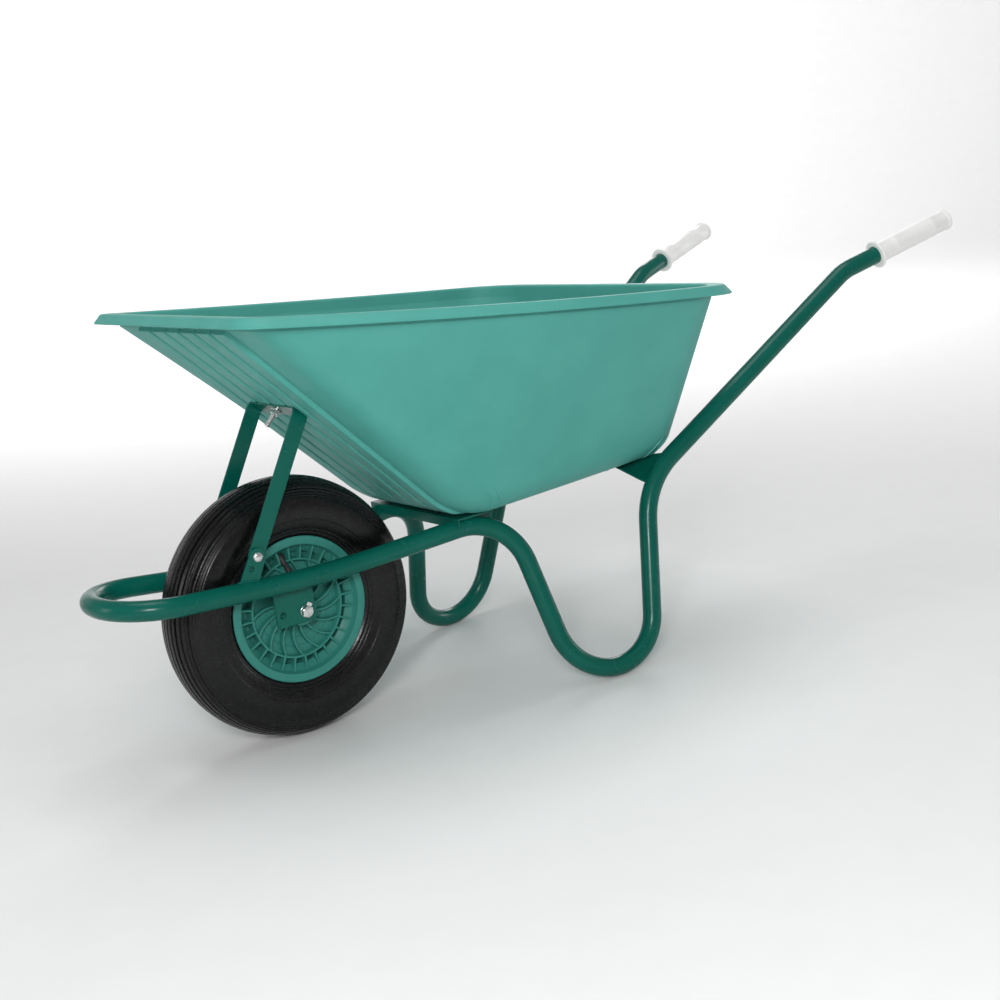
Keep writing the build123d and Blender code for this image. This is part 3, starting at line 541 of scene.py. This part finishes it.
GRIP_PROFILE = [(0.0, 0.5), (0.0, 13.5), (0.5, 15.8), (1.6, 17.6), (3.2, 18.4), (5.2, 18.5), (6.6, 18.1),
                (8.0, 17.0), (10.0, 16.7), (36.0, 17.0), (37.5, 17.5), (39.5, 17.5), (41.0, 17.0),
                (80.0, 17.2),
                (118.0, 17.0), (119.5, 17.5), (121.5, 17.5), (123.0, 17.0), (150.0, 17.0), (155.0, 17.3),
                (157.0, 18.6), (158.2, 22.4), (159.0, 23.6), (160.4, 24.0), (161.8, 23.7), (162.8, 22.4),
                (163.0, 20.0), (163.0, 15.1), (8.0, 15.1), (8.0, 0.5)]


def grip_radius(along_axis, radius, turn):
    """Soft lengthwise flutes on the part that the hand holds."""
    if radius < 16 or not 10 < along_axis < 152:
        return radius
    return radius - 0.28 * (0.5 - 0.5 * math.cos(20 * turn))


for side, hand in SIDES:
    end = np.array((HANDLE_END[0], side * HANDLE_END[1], HANDLE_END[2]))
    inward = -np.array((handle_way[0], side * handle_way[1], handle_way[2]))
    lathe(Shape(), GRIP_PROFILE, end, inward, 120, radius_at=grip_radius).build(
        f"{hand}_grip_sleeve", WHITE, "frame", "grip_white", [f"{hand}_grip"], angle=45)


# ==== plates, tabs and stay ====

FORWARD = np.array((1.0, 0, 0))
UP = np.array((0, 0, 1.0))
PLATE_INNER, PLATE_THICK = 52.5, 3.0
TAB_INNER, TAB_THICK = 75.2, 4.0
STAY_BOLT = (74.0, 307.0)
STAY_HALF_SPAN, STAY_WIDTH, STAY_THICK = 75.0, 25.0, 4.0

for side, hand in SIDES:
    outline = rounded_polygon([(-17, 184), (49, 184), (49, 245), (-17, 245)], [6, 6, 2, 2])
    holes = [circle((0, WHEEL_RADIUS), 5.25, clockwise=True), circle((38, 203), 5.25, clockwise=True)]
    y = PLATE_INNER + PLATE_THICK if side > 0 else -PLATE_INNER
    plate(Shape(), outline, holes, (0, y, 0), FORWARD, UP, PLATE_THICK, 0.5).build(
        f"{hand}_axle_plate_bevelled", PAINT, "frame", "frame_green", [f"{hand}_axle_plate"])

    low = rail_at(95)[1] + 9
    loop = [(112, low - 0.5)]
    loop += [(STAY_BOLT[0] + 13.4 * math.cos(t), STAY_BOLT[1] + 13.4 * math.sin(t))
             for t in np.linspace(0.25, math.pi + 0.35, 22)]
    loop += [(79, low - 1.5)]
    holes = [circle(STAY_BOLT, 4.3, clockwise=True), circle((87, 292), 4.3, clockwise=True)]
    y = TAB_INNER + TAB_THICK if side > 0 else -TAB_INNER
    plate(Shape(), loop, holes, (0, y, 0), FORWARD, UP, TAB_THICK, 0.6).build(
        f"{hand}_stay_tab_bevelled", PAINT, "frame", "frame_green", [f"{hand}_stay_tab"])


def bar_ring(centre, across, normal, width, thickness, edge=0.9):
    """A flat bar's section with chamfered corners."""
    w, t = width / 2, thickness / 2
    corners = ((w - edge, t), (w, t - edge), (w, edge - t), (w - edge, -t),
               (edge - w, -t), (-w, edge - t), (-w, t - edge), (edge - w, t))
    return [centre + across * a + normal * b for a, b in corners]


shoulder_front = 98.0 / math.hypot(1, RIM_SLOPE)
slope_top = np.array((shoulder_front, 0, 632.0 + RIM_SLOPE * 98.0 / math.hypot(1, RIM_SLOPE)))
slope_foot = np.array((-253.0, 0, 291.0))
up_slope = unit(slope_top - slope_foot)
out_slope = unit(np.array((up_slope[2], 0, -up_slope[0])))
nose_seat = slope_foot + up_slope * ((-40.0 - slope_foot[0]) / up_slope[0])
stay_top = nose_seat + out_slope * (RIB_HEIGHT + 0.1)
foot = np.array((STAY_BOLT[0], 0, STAY_BOLT[1]))
strap_middle = STAY_HALF_SPAN - STAY_THICK / 2
bend = 8.0
crown = stay_top + out_slope * STAY_THICK / 2
strap_way = unit(foot - crown)
strap_across = np.array((strap_way[2], 0, -strap_way[0]))
if strap_across @ up_slope < 0:
    strap_across = -strap_across
bar_rings = []
for y in np.linspace(0, strap_middle - bend, 4):
    bar_rings.append(bar_ring(crown + np.array((0, y, 0)), up_slope, -out_slope, STAY_WIDTH, STAY_THICK))
for t in np.linspace(0, math.pi / 2, 9)[1:]:
    centre = crown + np.array((0, strap_middle - bend + bend * math.sin(t), 0))
    centre = centre + strap_way * bend * (1 - math.cos(t))
    blend = math.sin(t)
    across = unit(up_slope * (1 - blend) + strap_across * blend)
    way = unit(np.array((0, math.cos(t), 0)) + strap_way * math.sin(t))
    across = unit(across - way * (across @ way))
    normal = np.cross(way, across)
    if normal[1] < 0 and t > 0.3 or normal @ -out_slope < 0 and t <= 0.3:
        normal = -normal
    bar_rings.append(bar_ring(centre, across, normal, STAY_WIDTH, STAY_THICK))
span = np.linalg.norm(foot - crown)
for d in list(np.linspace(bend + 14, span, 8)):
    bar_rings.append(bar_ring(crown + np.array((0, strap_middle, 0)) + strap_way * d, strap_across,
                              np.array((0, 1.0, 0)), STAY_WIDTH, STAY_THICK))
for t in np.linspace(0, math.pi / 2, 9)[1:]:
    centre = crown + np.array((0, strap_middle, 0)) + strap_way * (span + STAY_WIDTH / 2 * math.sin(t))
    bar_rings.append(bar_ring(centre, strap_across, np.array((0, 1.0, 0)),
                              max(3.0, STAY_WIDTH * math.cos(t)), STAY_THICK))
other = [[p * (1, -1, 1) for p in ring] for ring in bar_rings]
Shape().rings(other[::-1] + bar_rings[1:]).build(
    "front_stay_bent_bar", PAINT, "frame", "frame_green", ["front_stay"], angle=30)

# the rear crossmember is flat under the tray and turns up into the handle bends
REAR_CROSS = (-592.0, FLOOR_HEIGHT + FLOOR_SLOPE * -561.0 - 2.1, 62.0, 0.0)
REAR_CROSS_END = (-604.0, 296.0, 56.0, 38.0)
cross_rings = []
for y in np.linspace(0, 190, 30):
    t = float(np.clip((y - 112) / (188 - 112), 0, 1))
    t = t * t * (3 - 2 * t)
    station, height, width, tilt = (a + (b - a) * t for a, b in zip(REAR_CROSS, REAR_CROSS_END))
    width += 22 * max(0.0, t - 0.55) ** 1.5
    tilt = math.radians(tilt)
    across = np.array((math.cos(tilt), 0, -math.sin(tilt)))
    centre = np.array((station, y, height))
    cross_rings.append(bar_ring(centre, across, np.cross(across, (0, 1, 0)), width, 4.0))
other = [[p * (1, -1, 1) for p in ring] for ring in cross_rings]
Shape().rings(other[::-1] + cross_rings[1:]).build(
    "rear_crossmember_pressed", PAINT, "frame", "frame_green", ["rear_crossmember"], angle=30)


# ==== welds ====

def weld(shape, points, size=2.1):
    """A bead with the ripples of a hand weld along a line."""
    points = np.array(points, float)
    run = np.concatenate([[0], np.cumsum(np.linalg.norm(np.diff(points, axis=0), axis=1))])
    steps = np.arange(0, run[-1], 0.8)
    path = np.stack([np.interp(steps, run, points[:, k]) for k in range(3)], axis=1)

    def radius_at(i):
        ends = min(1.0, (i + 1) / 3, (len(path) - i) / 3)
        return size * (0.86 + 0.14 * math.cos(i * 1.9) + 0.05 * math.sin(i * 0.63)) * ends

    return tube(shape, path, size, 12, radius_at)


welds = Shape()
for side, hand in SIDES:
    line = []
    for station in np.linspace(-15, 47, 20):
        y, z = rail_at(station)
        reach = PLATE_INNER + PLATE_THICK
        drop = math.sqrt(max(1.0, TUBE_RADIUS ** 2 - (y - reach) ** 2))
        line.append((station, side * (reach + 0.8), z - drop - 0.3))
    weld(welds, line)
    line = []
    for station in np.linspace(79, 112, 12):
        y, z = rail_at(station)
        reach = TAB_INNER + TAB_THICK
        rise = math.sqrt(max(4.0, TUBE_RADIUS ** 2 - (reach - y) ** 2))
        line.append((station, side * (reach + 0.4), z + rise + 0.4))
    weld(welds, line)
    line = []
    for station in np.linspace(-305, -245, 20):
        y = rail_at(max(station, -259))[0]
        y += (rail_at(-259)[0] - rail_at(-258)[0]) * max(0.0, -259 - station)
        line.append((station, side * (y - 13.0), 289.0 - 0.08 * (station + 275)))
    weld(welds, line)
welds.build("frame_welds", PAINT, "frame", "frame_green", angle=70)


# ==== wheel ====

CENTRE = np.array((0.0, 0.0, WHEEL_RADIUS))
ACROSS = np.array((0.0, 1.0, 0.0))
TYRE_SHOULDER, TYRE_BULGE, TYRE_BEAD = (43.0, 186.0), (52.0, 152.0), (37.9, 112.5)
CROWN_DROP = WHEEL_RADIUS - TYRE_SHOULDER[1]
crown_radius = (TYRE_SHOULDER[0] ** 2 + CROWN_DROP ** 2) / (2 * CROWN_DROP)
tread = [(a, WHEEL_RADIUS - crown_radius + math.sqrt(crown_radius ** 2 - a * a))
         for a in np.linspace(0, TYRE_SHOULDER[0], 75)]
side_centre, side_radius = circle_through(TYRE_SHOULDER, TYRE_BULGE, TYRE_BEAD)
start = math.atan2(TYRE_SHOULDER[1] - side_centre[1], TYRE_SHOULDER[0] - side_centre[0])
stop = math.atan2(TYRE_BEAD[1] - side_centre[1], TYRE_BEAD[0] - side_centre[0])
wall = [(side_centre[0] + side_radius * math.cos(t), side_centre[1] + side_radius * math.sin(t))
        for t in np.linspace(start, stop, 110)[1:]]
outside = np.array(tread + wall)
run = np.concatenate([[0], np.cumsum(np.linalg.norm(np.diff(outside, axis=0), axis=1))])
direction = np.gradient(outside, axis=0)
normals = np.stack([-direction[:, 1], direction[:, 0]], axis=1)
normals /= np.linalg.norm(normals, axis=1)[:, None]


def groove(s, centre, half, depth):
    """A groove's depth at a distance along the section, with sloping sides."""
    return depth * float(np.clip((half + 0.8 - abs(s - centre)) / 1.2, 0, 1))


TREAD_GROOVES = ((5.0, 1.2, 3.4), (14.5, 1.3, 3.6), (24.0, 1.3, 3.6), (33.5, 1.2, 3.2), (42.0, 1.0, 2.4))
WALL_GROOVES = ((47.5, 0.8, 1.4), (52.5, 0.7, 1.0), (57.0, 0.5, 0.8), (61.0, 0.4, 0.6), (96.0, 0.5, 0.7),
                (112.0, 0.5, 0.8), (118.0, 0.6, 0.9))
section = []
for s, point, normal in zip(run, outside, normals):
    if normal @ (point - np.array((0.0, 150.0))) < 0:
        normal = -normal
    depth = sum(groove(s, *g) for g in TREAD_GROOVES + WALL_GROOVES)
    section.append(tuple(point - normal * depth))
inside = [(37.9, 101.8), (29.2, 101.8), (29.2, 114.0), (40.0, 130.0), (45.0, 152.0), (41.0, 172.0),
          (33.0, 181.0), (20.0, 186.5), (0.0, 189.0)]
half_section = section + inside
profile = half_section + [(-a, r) for a, r in half_section[-2:0:-1]]
lathe(Shape(), profile, CENTRE, ACROSS, 180, closed=True).build(
    "tyre_ribbed", RUBBER, "wheel", "tyre", ["tyre"], angle=50)

rim = Shape()
BARREL = [(0, 91.5), (20, 91.5), (24, 95.5), (28, 101.5), (38, 101.5), (38, 110.5), (38.6, 111.6),
          (39.5, 112),
          (40.2, 111.7), (41, 110.6), (41, 100.5), (40.4, 99.2), (38.5, 98.3), (31, 97.0), (29,
          95.6), (22, 87.0),
          (0, 87.0)]
lathe(rim, BARREL + [(-a, r) for a, r in BARREL[-2:0:-1]], CENTRE, ACROSS, 160, closed=True)
HUB = [(46, 15.1), (46, 22.6), (44.6, 24), (32, 24.6), (26, 26.0), (21.5, 29.0), (19.6, 34), (19.0, 40),
       (19.0, 44), (18.0, 44.6), (18.0, 46.6), (19.0, 47.2), (19.0, 58), (18.0, 58.6), (18.0,
       60.6), (19.0, 61.2),
       (19.0, 73.2), (29.4, 73.6), (30.2, 74.2), (30.2, 76.3), (29.6, 77), (12.6, 77.4), (12, 78.4), (12, 86),
       (12.6, 88.6), (2, 89.2), (0, 89.2)]
hub_profile = HUB + [(-a, r) for a, r in HUB[-2::-1]]
lathe(rim, hub_profile, CENTRE, ACROSS, 160, closed=True)


def fin(shape, path, half_thickness, depth, edge=0.8):
    """An upright wall that follows a line in the wheel's face, through both sides of the web."""
    path = np.array(path, float)
    way = np.gradient(path, axis=0)
    way /= np.linalg.norm(way, axis=1)[:, None]
    square = np.stack([-way[:, 1], way[:, 0]], axis=1)
    rings = []
    for p, n in zip(path, square):
        ring = []
        for offset, y in ((half_thickness, edge - depth), (half_thickness, depth - edge),
                          (half_thickness - edge, depth), (edge - half_thickness, depth),
                          (-half_thickness, depth - edge),
                          (-half_thickness, edge - depth), (edge - half_thickness, -depth),
                          (half_thickness - edge, -depth)):
            q = p + n * offset
            ring.append((q[0], y, WHEEL_RADIUS - q[1]))
        rings.append(ring)
    return shape.rings(rings)


def turned(path, angle):
    """A flat path turned about the origin."""
    c, s = math.cos(angle), math.sin(angle)
    return [(x * c - y * s, x * s + y * c) for x, y in path]


arc_centre, arc_radius = circle_through((22.0, 0.0), (50.0, 7.0), (70.0, 27.0))
a0 = math.atan2(0.0 - arc_centre[1], 22.0 - arc_centre[0])
a1 = math.atan2(27.0 - arc_centre[1], 70.0 - arc_centre[0])
spoke = [(arc_centre[0] + arc_radius * math.cos(t), arc_centre[1] + arc_radius * math.sin(t))
         for t in np.linspace(a0, a1, 14)]
SPOKES, SPOKE_HALF, SPOKE_DEPTH = 16, 1.5, 29.6
RING_RIBS, RING_RIB_HALF, RING_RIB_DEPTH = 28, 1.6, 31.0
ring_rib = [(r, 0.0) for r in (75.5, 80, 84, 88, 93, 97.8)]
for i in range(SPOKES):
    fin(rim, turned(spoke, 2 * math.pi * i / SPOKES), SPOKE_HALF, SPOKE_DEPTH)
for i in range(RING_RIBS):
    fin(rim, turned(ring_rib, 2 * math.pi * i / RING_RIBS), RING_RIB_HALF, RING_RIB_DEPTH)
rim.build("rim_spoked", RIM, "wheel", "rim_green", ["wheel_rim"], angle=35)

turn = math.radians(9.0)
radial = np.array((math.sin(turn), 0, math.cos(turn)))
valve_start = CENTRE + radial * 106.0 + ACROSS * 6.5
valve_end = CENTRE + radial * 69.0 + ACROSS * 38.0
valve_way = unit(valve_end - valve_start)
valve_length = float(np.linalg.norm(valve_end - valve_start))
STEM = [(0, 4.0), (valve_length * 0.45, 4.0), (valve_length * 0.5, 5.2), (valve_length * 0.72, 5.2),
        (valve_length * 0.8, 4.2), (valve_length - 4, 3.9), (valve_length - 3.4, 3.2), (valve_length, 3.2)]
lathe(Shape(), STEM, valve_start, valve_way, 40).build(
    "valve_stem_rubber", DULL_RUBBER, "wheel", "valve_rubber", ["valve_stem"])
CAP = [(-0.5, 3.4), (-0.5, 4.6), (0.2, 4.8), (7.0, 4.7), (8.4, 4.2), (9.0, 3.2), (9.0, 0.3)]
lathe(Shape(), CAP, valve_end, valve_way, 48,
      radius_at=lambda a, r, t: r - (0.25 if math.cos(16 * t) > 0.2 and 0.5 < a < 7.5 else 0)).build(
    "valve_cap_knurled", DULL_RUBBER, "wheel", "cap_plastic", ["valve_cap"])


# ==== fasteners ====

def hexagon(flats):
    """A function that trims a round radius to a hexagon across the given flats."""
    return lambda along_axis, radius, t: min(
        radius, flats / 2 / math.cos((t + math.pi / 6) % (math.pi / 3) - math.pi / 6))


def hex_head(shape, seat, way, flats, height):
    corner = flats / 2 / math.cos(math.pi / 6)
    profile = [(0, 0.3), (0, flats / 2 * 0.97), (0.5, corner), (height - 1.3, corner),
               (height - 0.25, flats / 2 * 0.97), (height, flats / 2 * 0.9), (height, 0.3)]
    return lathe(shape, profile, seat, way, 72, radius_at=hexagon(flats))


def hex_nut(shape, seat, way, flats, height, bore):
    corner = flats / 2 / math.cos(math.pi / 6)
    profile = [(0, bore), (0, flats / 2 * 0.95), (0.9, corner), (height - 0.9, corner),
               (height, flats / 2 * 0.95), (height, bore + 0.5), (height - 0.6, bore), (0.6, bore)]
    return lathe(shape, profile, seat, way, 72, closed=True, radius_at=hexagon(flats))


def shank(shape, seat, way, radius, plain, length, pitch=1.25):
    """A bolt's shank: a plain stretch, then ridges of thread to a chamfered end."""
    profile = [(0, radius), (plain, radius)]
    d = plain
    while d < length - 1.6:
        profile += [(d + pitch * 0.25, radius * 0.88), (d + pitch * 0.75, radius * 0.995)]
        d += pitch
    profile += [(length - 1.0, radius * 0.9), (length, radius * 0.75)]
    return lathe(shape, profile, seat, way, 32)


def cup_head(shape, seat, way, radius=8.0, height=4.5):
    profile = [(0, 0.3), (0, radius)]
    profile += [(0.5 + (height - 0.5) * math.sin(t),
                radius * math.cos(t)) for t in np.linspace(0.05, 1.45, 9)]
    return lathe(shape, profile + [(height, 0.3)], seat, way, 48)


def flat_washer(shape, seat, way, bore, radius, thickness=2.0):
    profile = [(0, bore), (0, radius - 0.3), (0.3, radius), (thickness - 0.3, radius),
               (thickness, radius - 0.4), (thickness, bore)]
    return lathe(shape, profile, seat, way, 56, closed=True)


axle_bolts, axle_washers = Shape(), Shape()
for side, hand in SIDES:
    way = ACROSS * side
    seat = CENTRE + way * (PLATE_INNER + PLATE_THICK)
    flat_washer(axle_washers, seat, way, 5.2, 9.5)
    hex_head(axle_bolts, seat + way * 2.0, way, 17.0, 6.4)
    shank(axle_bolts, seat + way * 2.0, -way, 5.0, 4.0, 27.0, 1.5)
    outline = rounded_polygon([(-4.2, 0), (4.2, 0), (4.2, 6.8), (-4.2, 6.8)], [0.4, 0.4, 1.4, 1.4])
    tilt = math.radians(38)
    u = np.array((math.cos(tilt), 0, math.sin(tilt)))
    v = np.array((-math.sin(tilt), 0, math.cos(tilt)))
    base = seat + v * 7.5 + (way * 1.9 if side > 0 else way * 0.1)
    plate(axle_washers, outline, [], base, u * side, v, 1.8, 0.3)
axle_bolts.build("axle_bolts_hex", ZINC, "frame", "zinc", ["axle_bolts"], angle=28)
axle_washers.build("axle_tab_washers", ZINC, "frame", "zinc", ["axle_lock_washers"], angle=30)


def floor_at(station):
    """Height of the tray's underside at a station."""
    return FLOOR_HEIGHT + FLOOR_SLOPE * station


FRONT_BOLT_STATION, REAR_BOLT_STATION, TRAY_BOLT_OFFSET = -291.0, -592.0, 70.0
M8_RADIUS, M8_HOLE, M8_BORE, M8_FLATS, M8_NUT, M8_WASHER, WASHER_THICK = 4.0, 4.2, 4.05, 13.0, 6.5, 8.5, 2.0
cross_top = floor_at(-243.0) - 0.1
rear_top = floor_at(-561.0) - 0.1
bolts, nuts, washers = Shape(), Shape(), Shape()
for station, under in ((FRONT_BOLT_STATION, cross_top - 3.05), (REAR_BOLT_STATION, rear_top - 4.05)):
    for offset in (-TRAY_BOLT_OFFSET, TRAY_BOLT_OFFSET):
        seat = np.array((station, offset, floor_at(station) + WALL + 0.6))
        cup_head(bolts, seat, UP)
        shank(bolts, seat, -UP, M8_RADIUS, 12.0, 32.0)
        below = np.array((station, offset, under))
        flat_washer(washers, below, -UP, M8_HOLE, M8_WASHER)
        hex_nut(nuts, below - UP * WASHER_THICK, -UP, M8_FLATS, M8_NUT, M8_BORE)
bolts.build("tray_bolts_cup_head", ZINC, "frame", "zinc", ["tray_bolts"], angle=28)
nuts.build("tray_nuts_hex", ZINC, "frame", "zinc", ["tray_nuts"], angle=28)
washers.build("tray_washers_flat", ZINC, "frame", "zinc", ["tray_washers"], angle=30)

nose, nose_nut, nose_washer = Shape(), Shape(), Shape()
inside_seat = nose_seat - out_slope * 4.6
cup_head(nose, inside_seat, -out_slope)
shank(nose, inside_seat, out_slope, M8_RADIUS, 16.0, 44.0)
outside_seat = stay_top + out_slope * 4.02
flat_washer(nose_washer, outside_seat, out_slope, M8_HOLE, M8_WASHER)
hex_nut(nose_nut, outside_seat + out_slope * WASHER_THICK, out_slope, M8_FLATS, M8_NUT, M8_BORE)
nose.build("nose_bolt_cup_head", ZINC, "frame", "zinc", ["nose_bolt"], angle=28)
nose_nut.build("nose_nut_hex", ZINC, "frame", "zinc", ["nose_nut"], angle=28)
nose_washer.build("nose_washer_flat", ZINC, "frame", "zinc", ["nose_washer"], angle=30)

stay_bolts, stay_nuts = Shape(), Shape()
for side, hand in SIDES:
    way = ACROSS * side
    outer_seat = np.array((STAY_BOLT[0], side * (TAB_INNER + TAB_THICK + 0.02), STAY_BOLT[1]))
    inner_seat = np.array((STAY_BOLT[0], side * (STAY_HALF_SPAN - STAY_THICK - 0.02), STAY_BOLT[1]))
    cup_head(stay_bolts, outer_seat, way)
    shank(stay_bolts, outer_seat, -way, M8_RADIUS, 8.0, 22.0)
    hex_nut(stay_nuts, inner_seat, -way, M8_FLATS, M8_NUT, M8_BORE)
stay_bolts.build("stay_bolts_cup_head", ZINC, "frame", "zinc", ["stay_bolts"], angle=28)
stay_nuts.build("stay_nuts_hex", ZINC, "frame", "zinc", ["stay_nuts"], angle=28)


# ==== pieces that stay as the CAD made them ====

KEPT = {"front_crossmember": (PAINT, "frame_green"), "axle_shaft": (ZINC, "zinc"),
        "axle_spacers": (ZINC, "zinc"),
        "hub_bushes": (NYLON, "bush_nylon"), "inner_tube": (DULL_RUBBER, "tube_rubber")}
for node, (material, slot_name) in KEPT.items():
    frame["nodes"][node].data.materials.clear()
    frame["nodes"][node].data.materials.append(material)


# ==== floor, light and camera ====

def bowl(name, material, radius=7.0, bend=3.0, height=4.5, turns=96):
    """A round studio floor that curves up into a wall, so that no horizon shows."""
    profile = [(0.02, 0.0), (radius * 0.5, 0.0), (radius, 0.0)]
    profile += [(radius + bend * math.sin(t), bend * (1 - math.cos(t)))
                for t in np.linspace(0, math.pi / 2, 13)[1:]]
    profile.append((radius + bend, height))
    points = [(r * math.cos(2 * math.pi * i / turns), r * math.sin(2 * math.pi * i / turns), z - 0.0005)
              for r, z in profile for i in range(turns)]
    faces = [(a * turns + i, a * turns + (i + 1) % turns,
              (a + 1) * turns + (i + 1) % turns, (a + 1) * turns + i)
             for a in range(len(profile) - 1) for i in range(turns)]
    faces = [face[::-1] for face in faces] + [tuple(range(turns))]
    mesh = bpy.data.meshes.new(name)
    mesh.from_pydata(points, [], faces)
    mesh.shade_smooth()
    mesh.materials.append(material)
    item = bpy.data.objects.new(name, mesh)
    bpy.context.scene.collection.objects.link(item)


FLOOR = finish_material("studio_floor", (0.82, 0.82, 0.82), (0.83, 0.83, 0.83),
                        0.85, 0.05, 60.0, 0.0001, specular=0.1)
bowl("studio_floor", FLOOR)

scene = bpy.context.scene
scene.view_settings.view_transform = "Standard"
backdrop = bpy.data.worlds.new("studio")
backdrop.use_nodes = True
backdrop.node_tree.nodes["Background"].inputs["Color"].default_value = (1, 1, 1, 1)
backdrop.node_tree.nodes["Background"].inputs["Strength"].default_value = 0.3
scene.world = backdrop


def lamp(name, place, target, size, power):
    data = bpy.data.lights.new(name, "AREA")
    data.shape = "RECTANGLE"
    data.size, data.size_y = size
    data.energy = power
    item = bpy.data.objects.new(name, data)
    item.location = place
    item.rotation_mode = "QUATERNION"
    item.rotation_quaternion = (Vector(target) - Vector(place)).to_track_quat("-Z", "Y")
    scene.collection.objects.link(item)


lamp("key_light", (1.75, 2.2, 1.35), (0.0, 0, 0.35), (0.7, 0.5), 40)
lamp("front_light", (3.6, -0.9, 1.2), (0.2, 0, 0.35), (0.8, 1.4), 14)
lamp("strip_light", (-3.3, 0.7, 0.7), (0.4, 0.0, 0.3), (0.5, 1.4), 16)
lamp("backdrop_light", (-1.5, -3.6, 5.0), (-5.0, -8.5, 1.5), (3.0, 1.5), 420)
lamp("top_light", (0.0, 0.0, 5.0), (0.0, 0, 0.4), (3.0, 3.0), 80)
lamp("rear_light", (-3.4, -3.2, 2.6), (0.0, 0, 0.4), (1.6, 1.6), 40)

yaw, pitch, roll = (math.radians(a) for a in (34.756, 12.838, -7.390))
forward = Vector((-math.sin(yaw), -math.cos(yaw), 0))
right = Vector((-math.cos(yaw), math.sin(yaw), 0))
up = Vector((0, 0, 1))
look = math.cos(pitch) * forward - math.sin(pitch) * up
raised = math.sin(pitch) * forward + math.cos(pitch) * up
right_rolled = math.cos(roll) * right + math.sin(roll) * raised
up_rolled = -math.sin(roll) * right + math.cos(roll) * raised
camera_data = bpy.data.cameras.new("photo_camera")
camera_data.sensor_width = 36.0
camera_data.lens = 54.9
camera_data.clip_start = 0.05
camera = bpy.data.objects.new("photo_camera", camera_data)
scene.collection.objects.link(camera)
turn_matrix = Matrix((right_rolled, up_rolled, -look)).transposed().to_4x4()
camera.matrix_world = Matrix.Translation((AXLE.x + 0.99823, 2.03674, 0.83119)) @ turn_matrix
scene.camera = camera
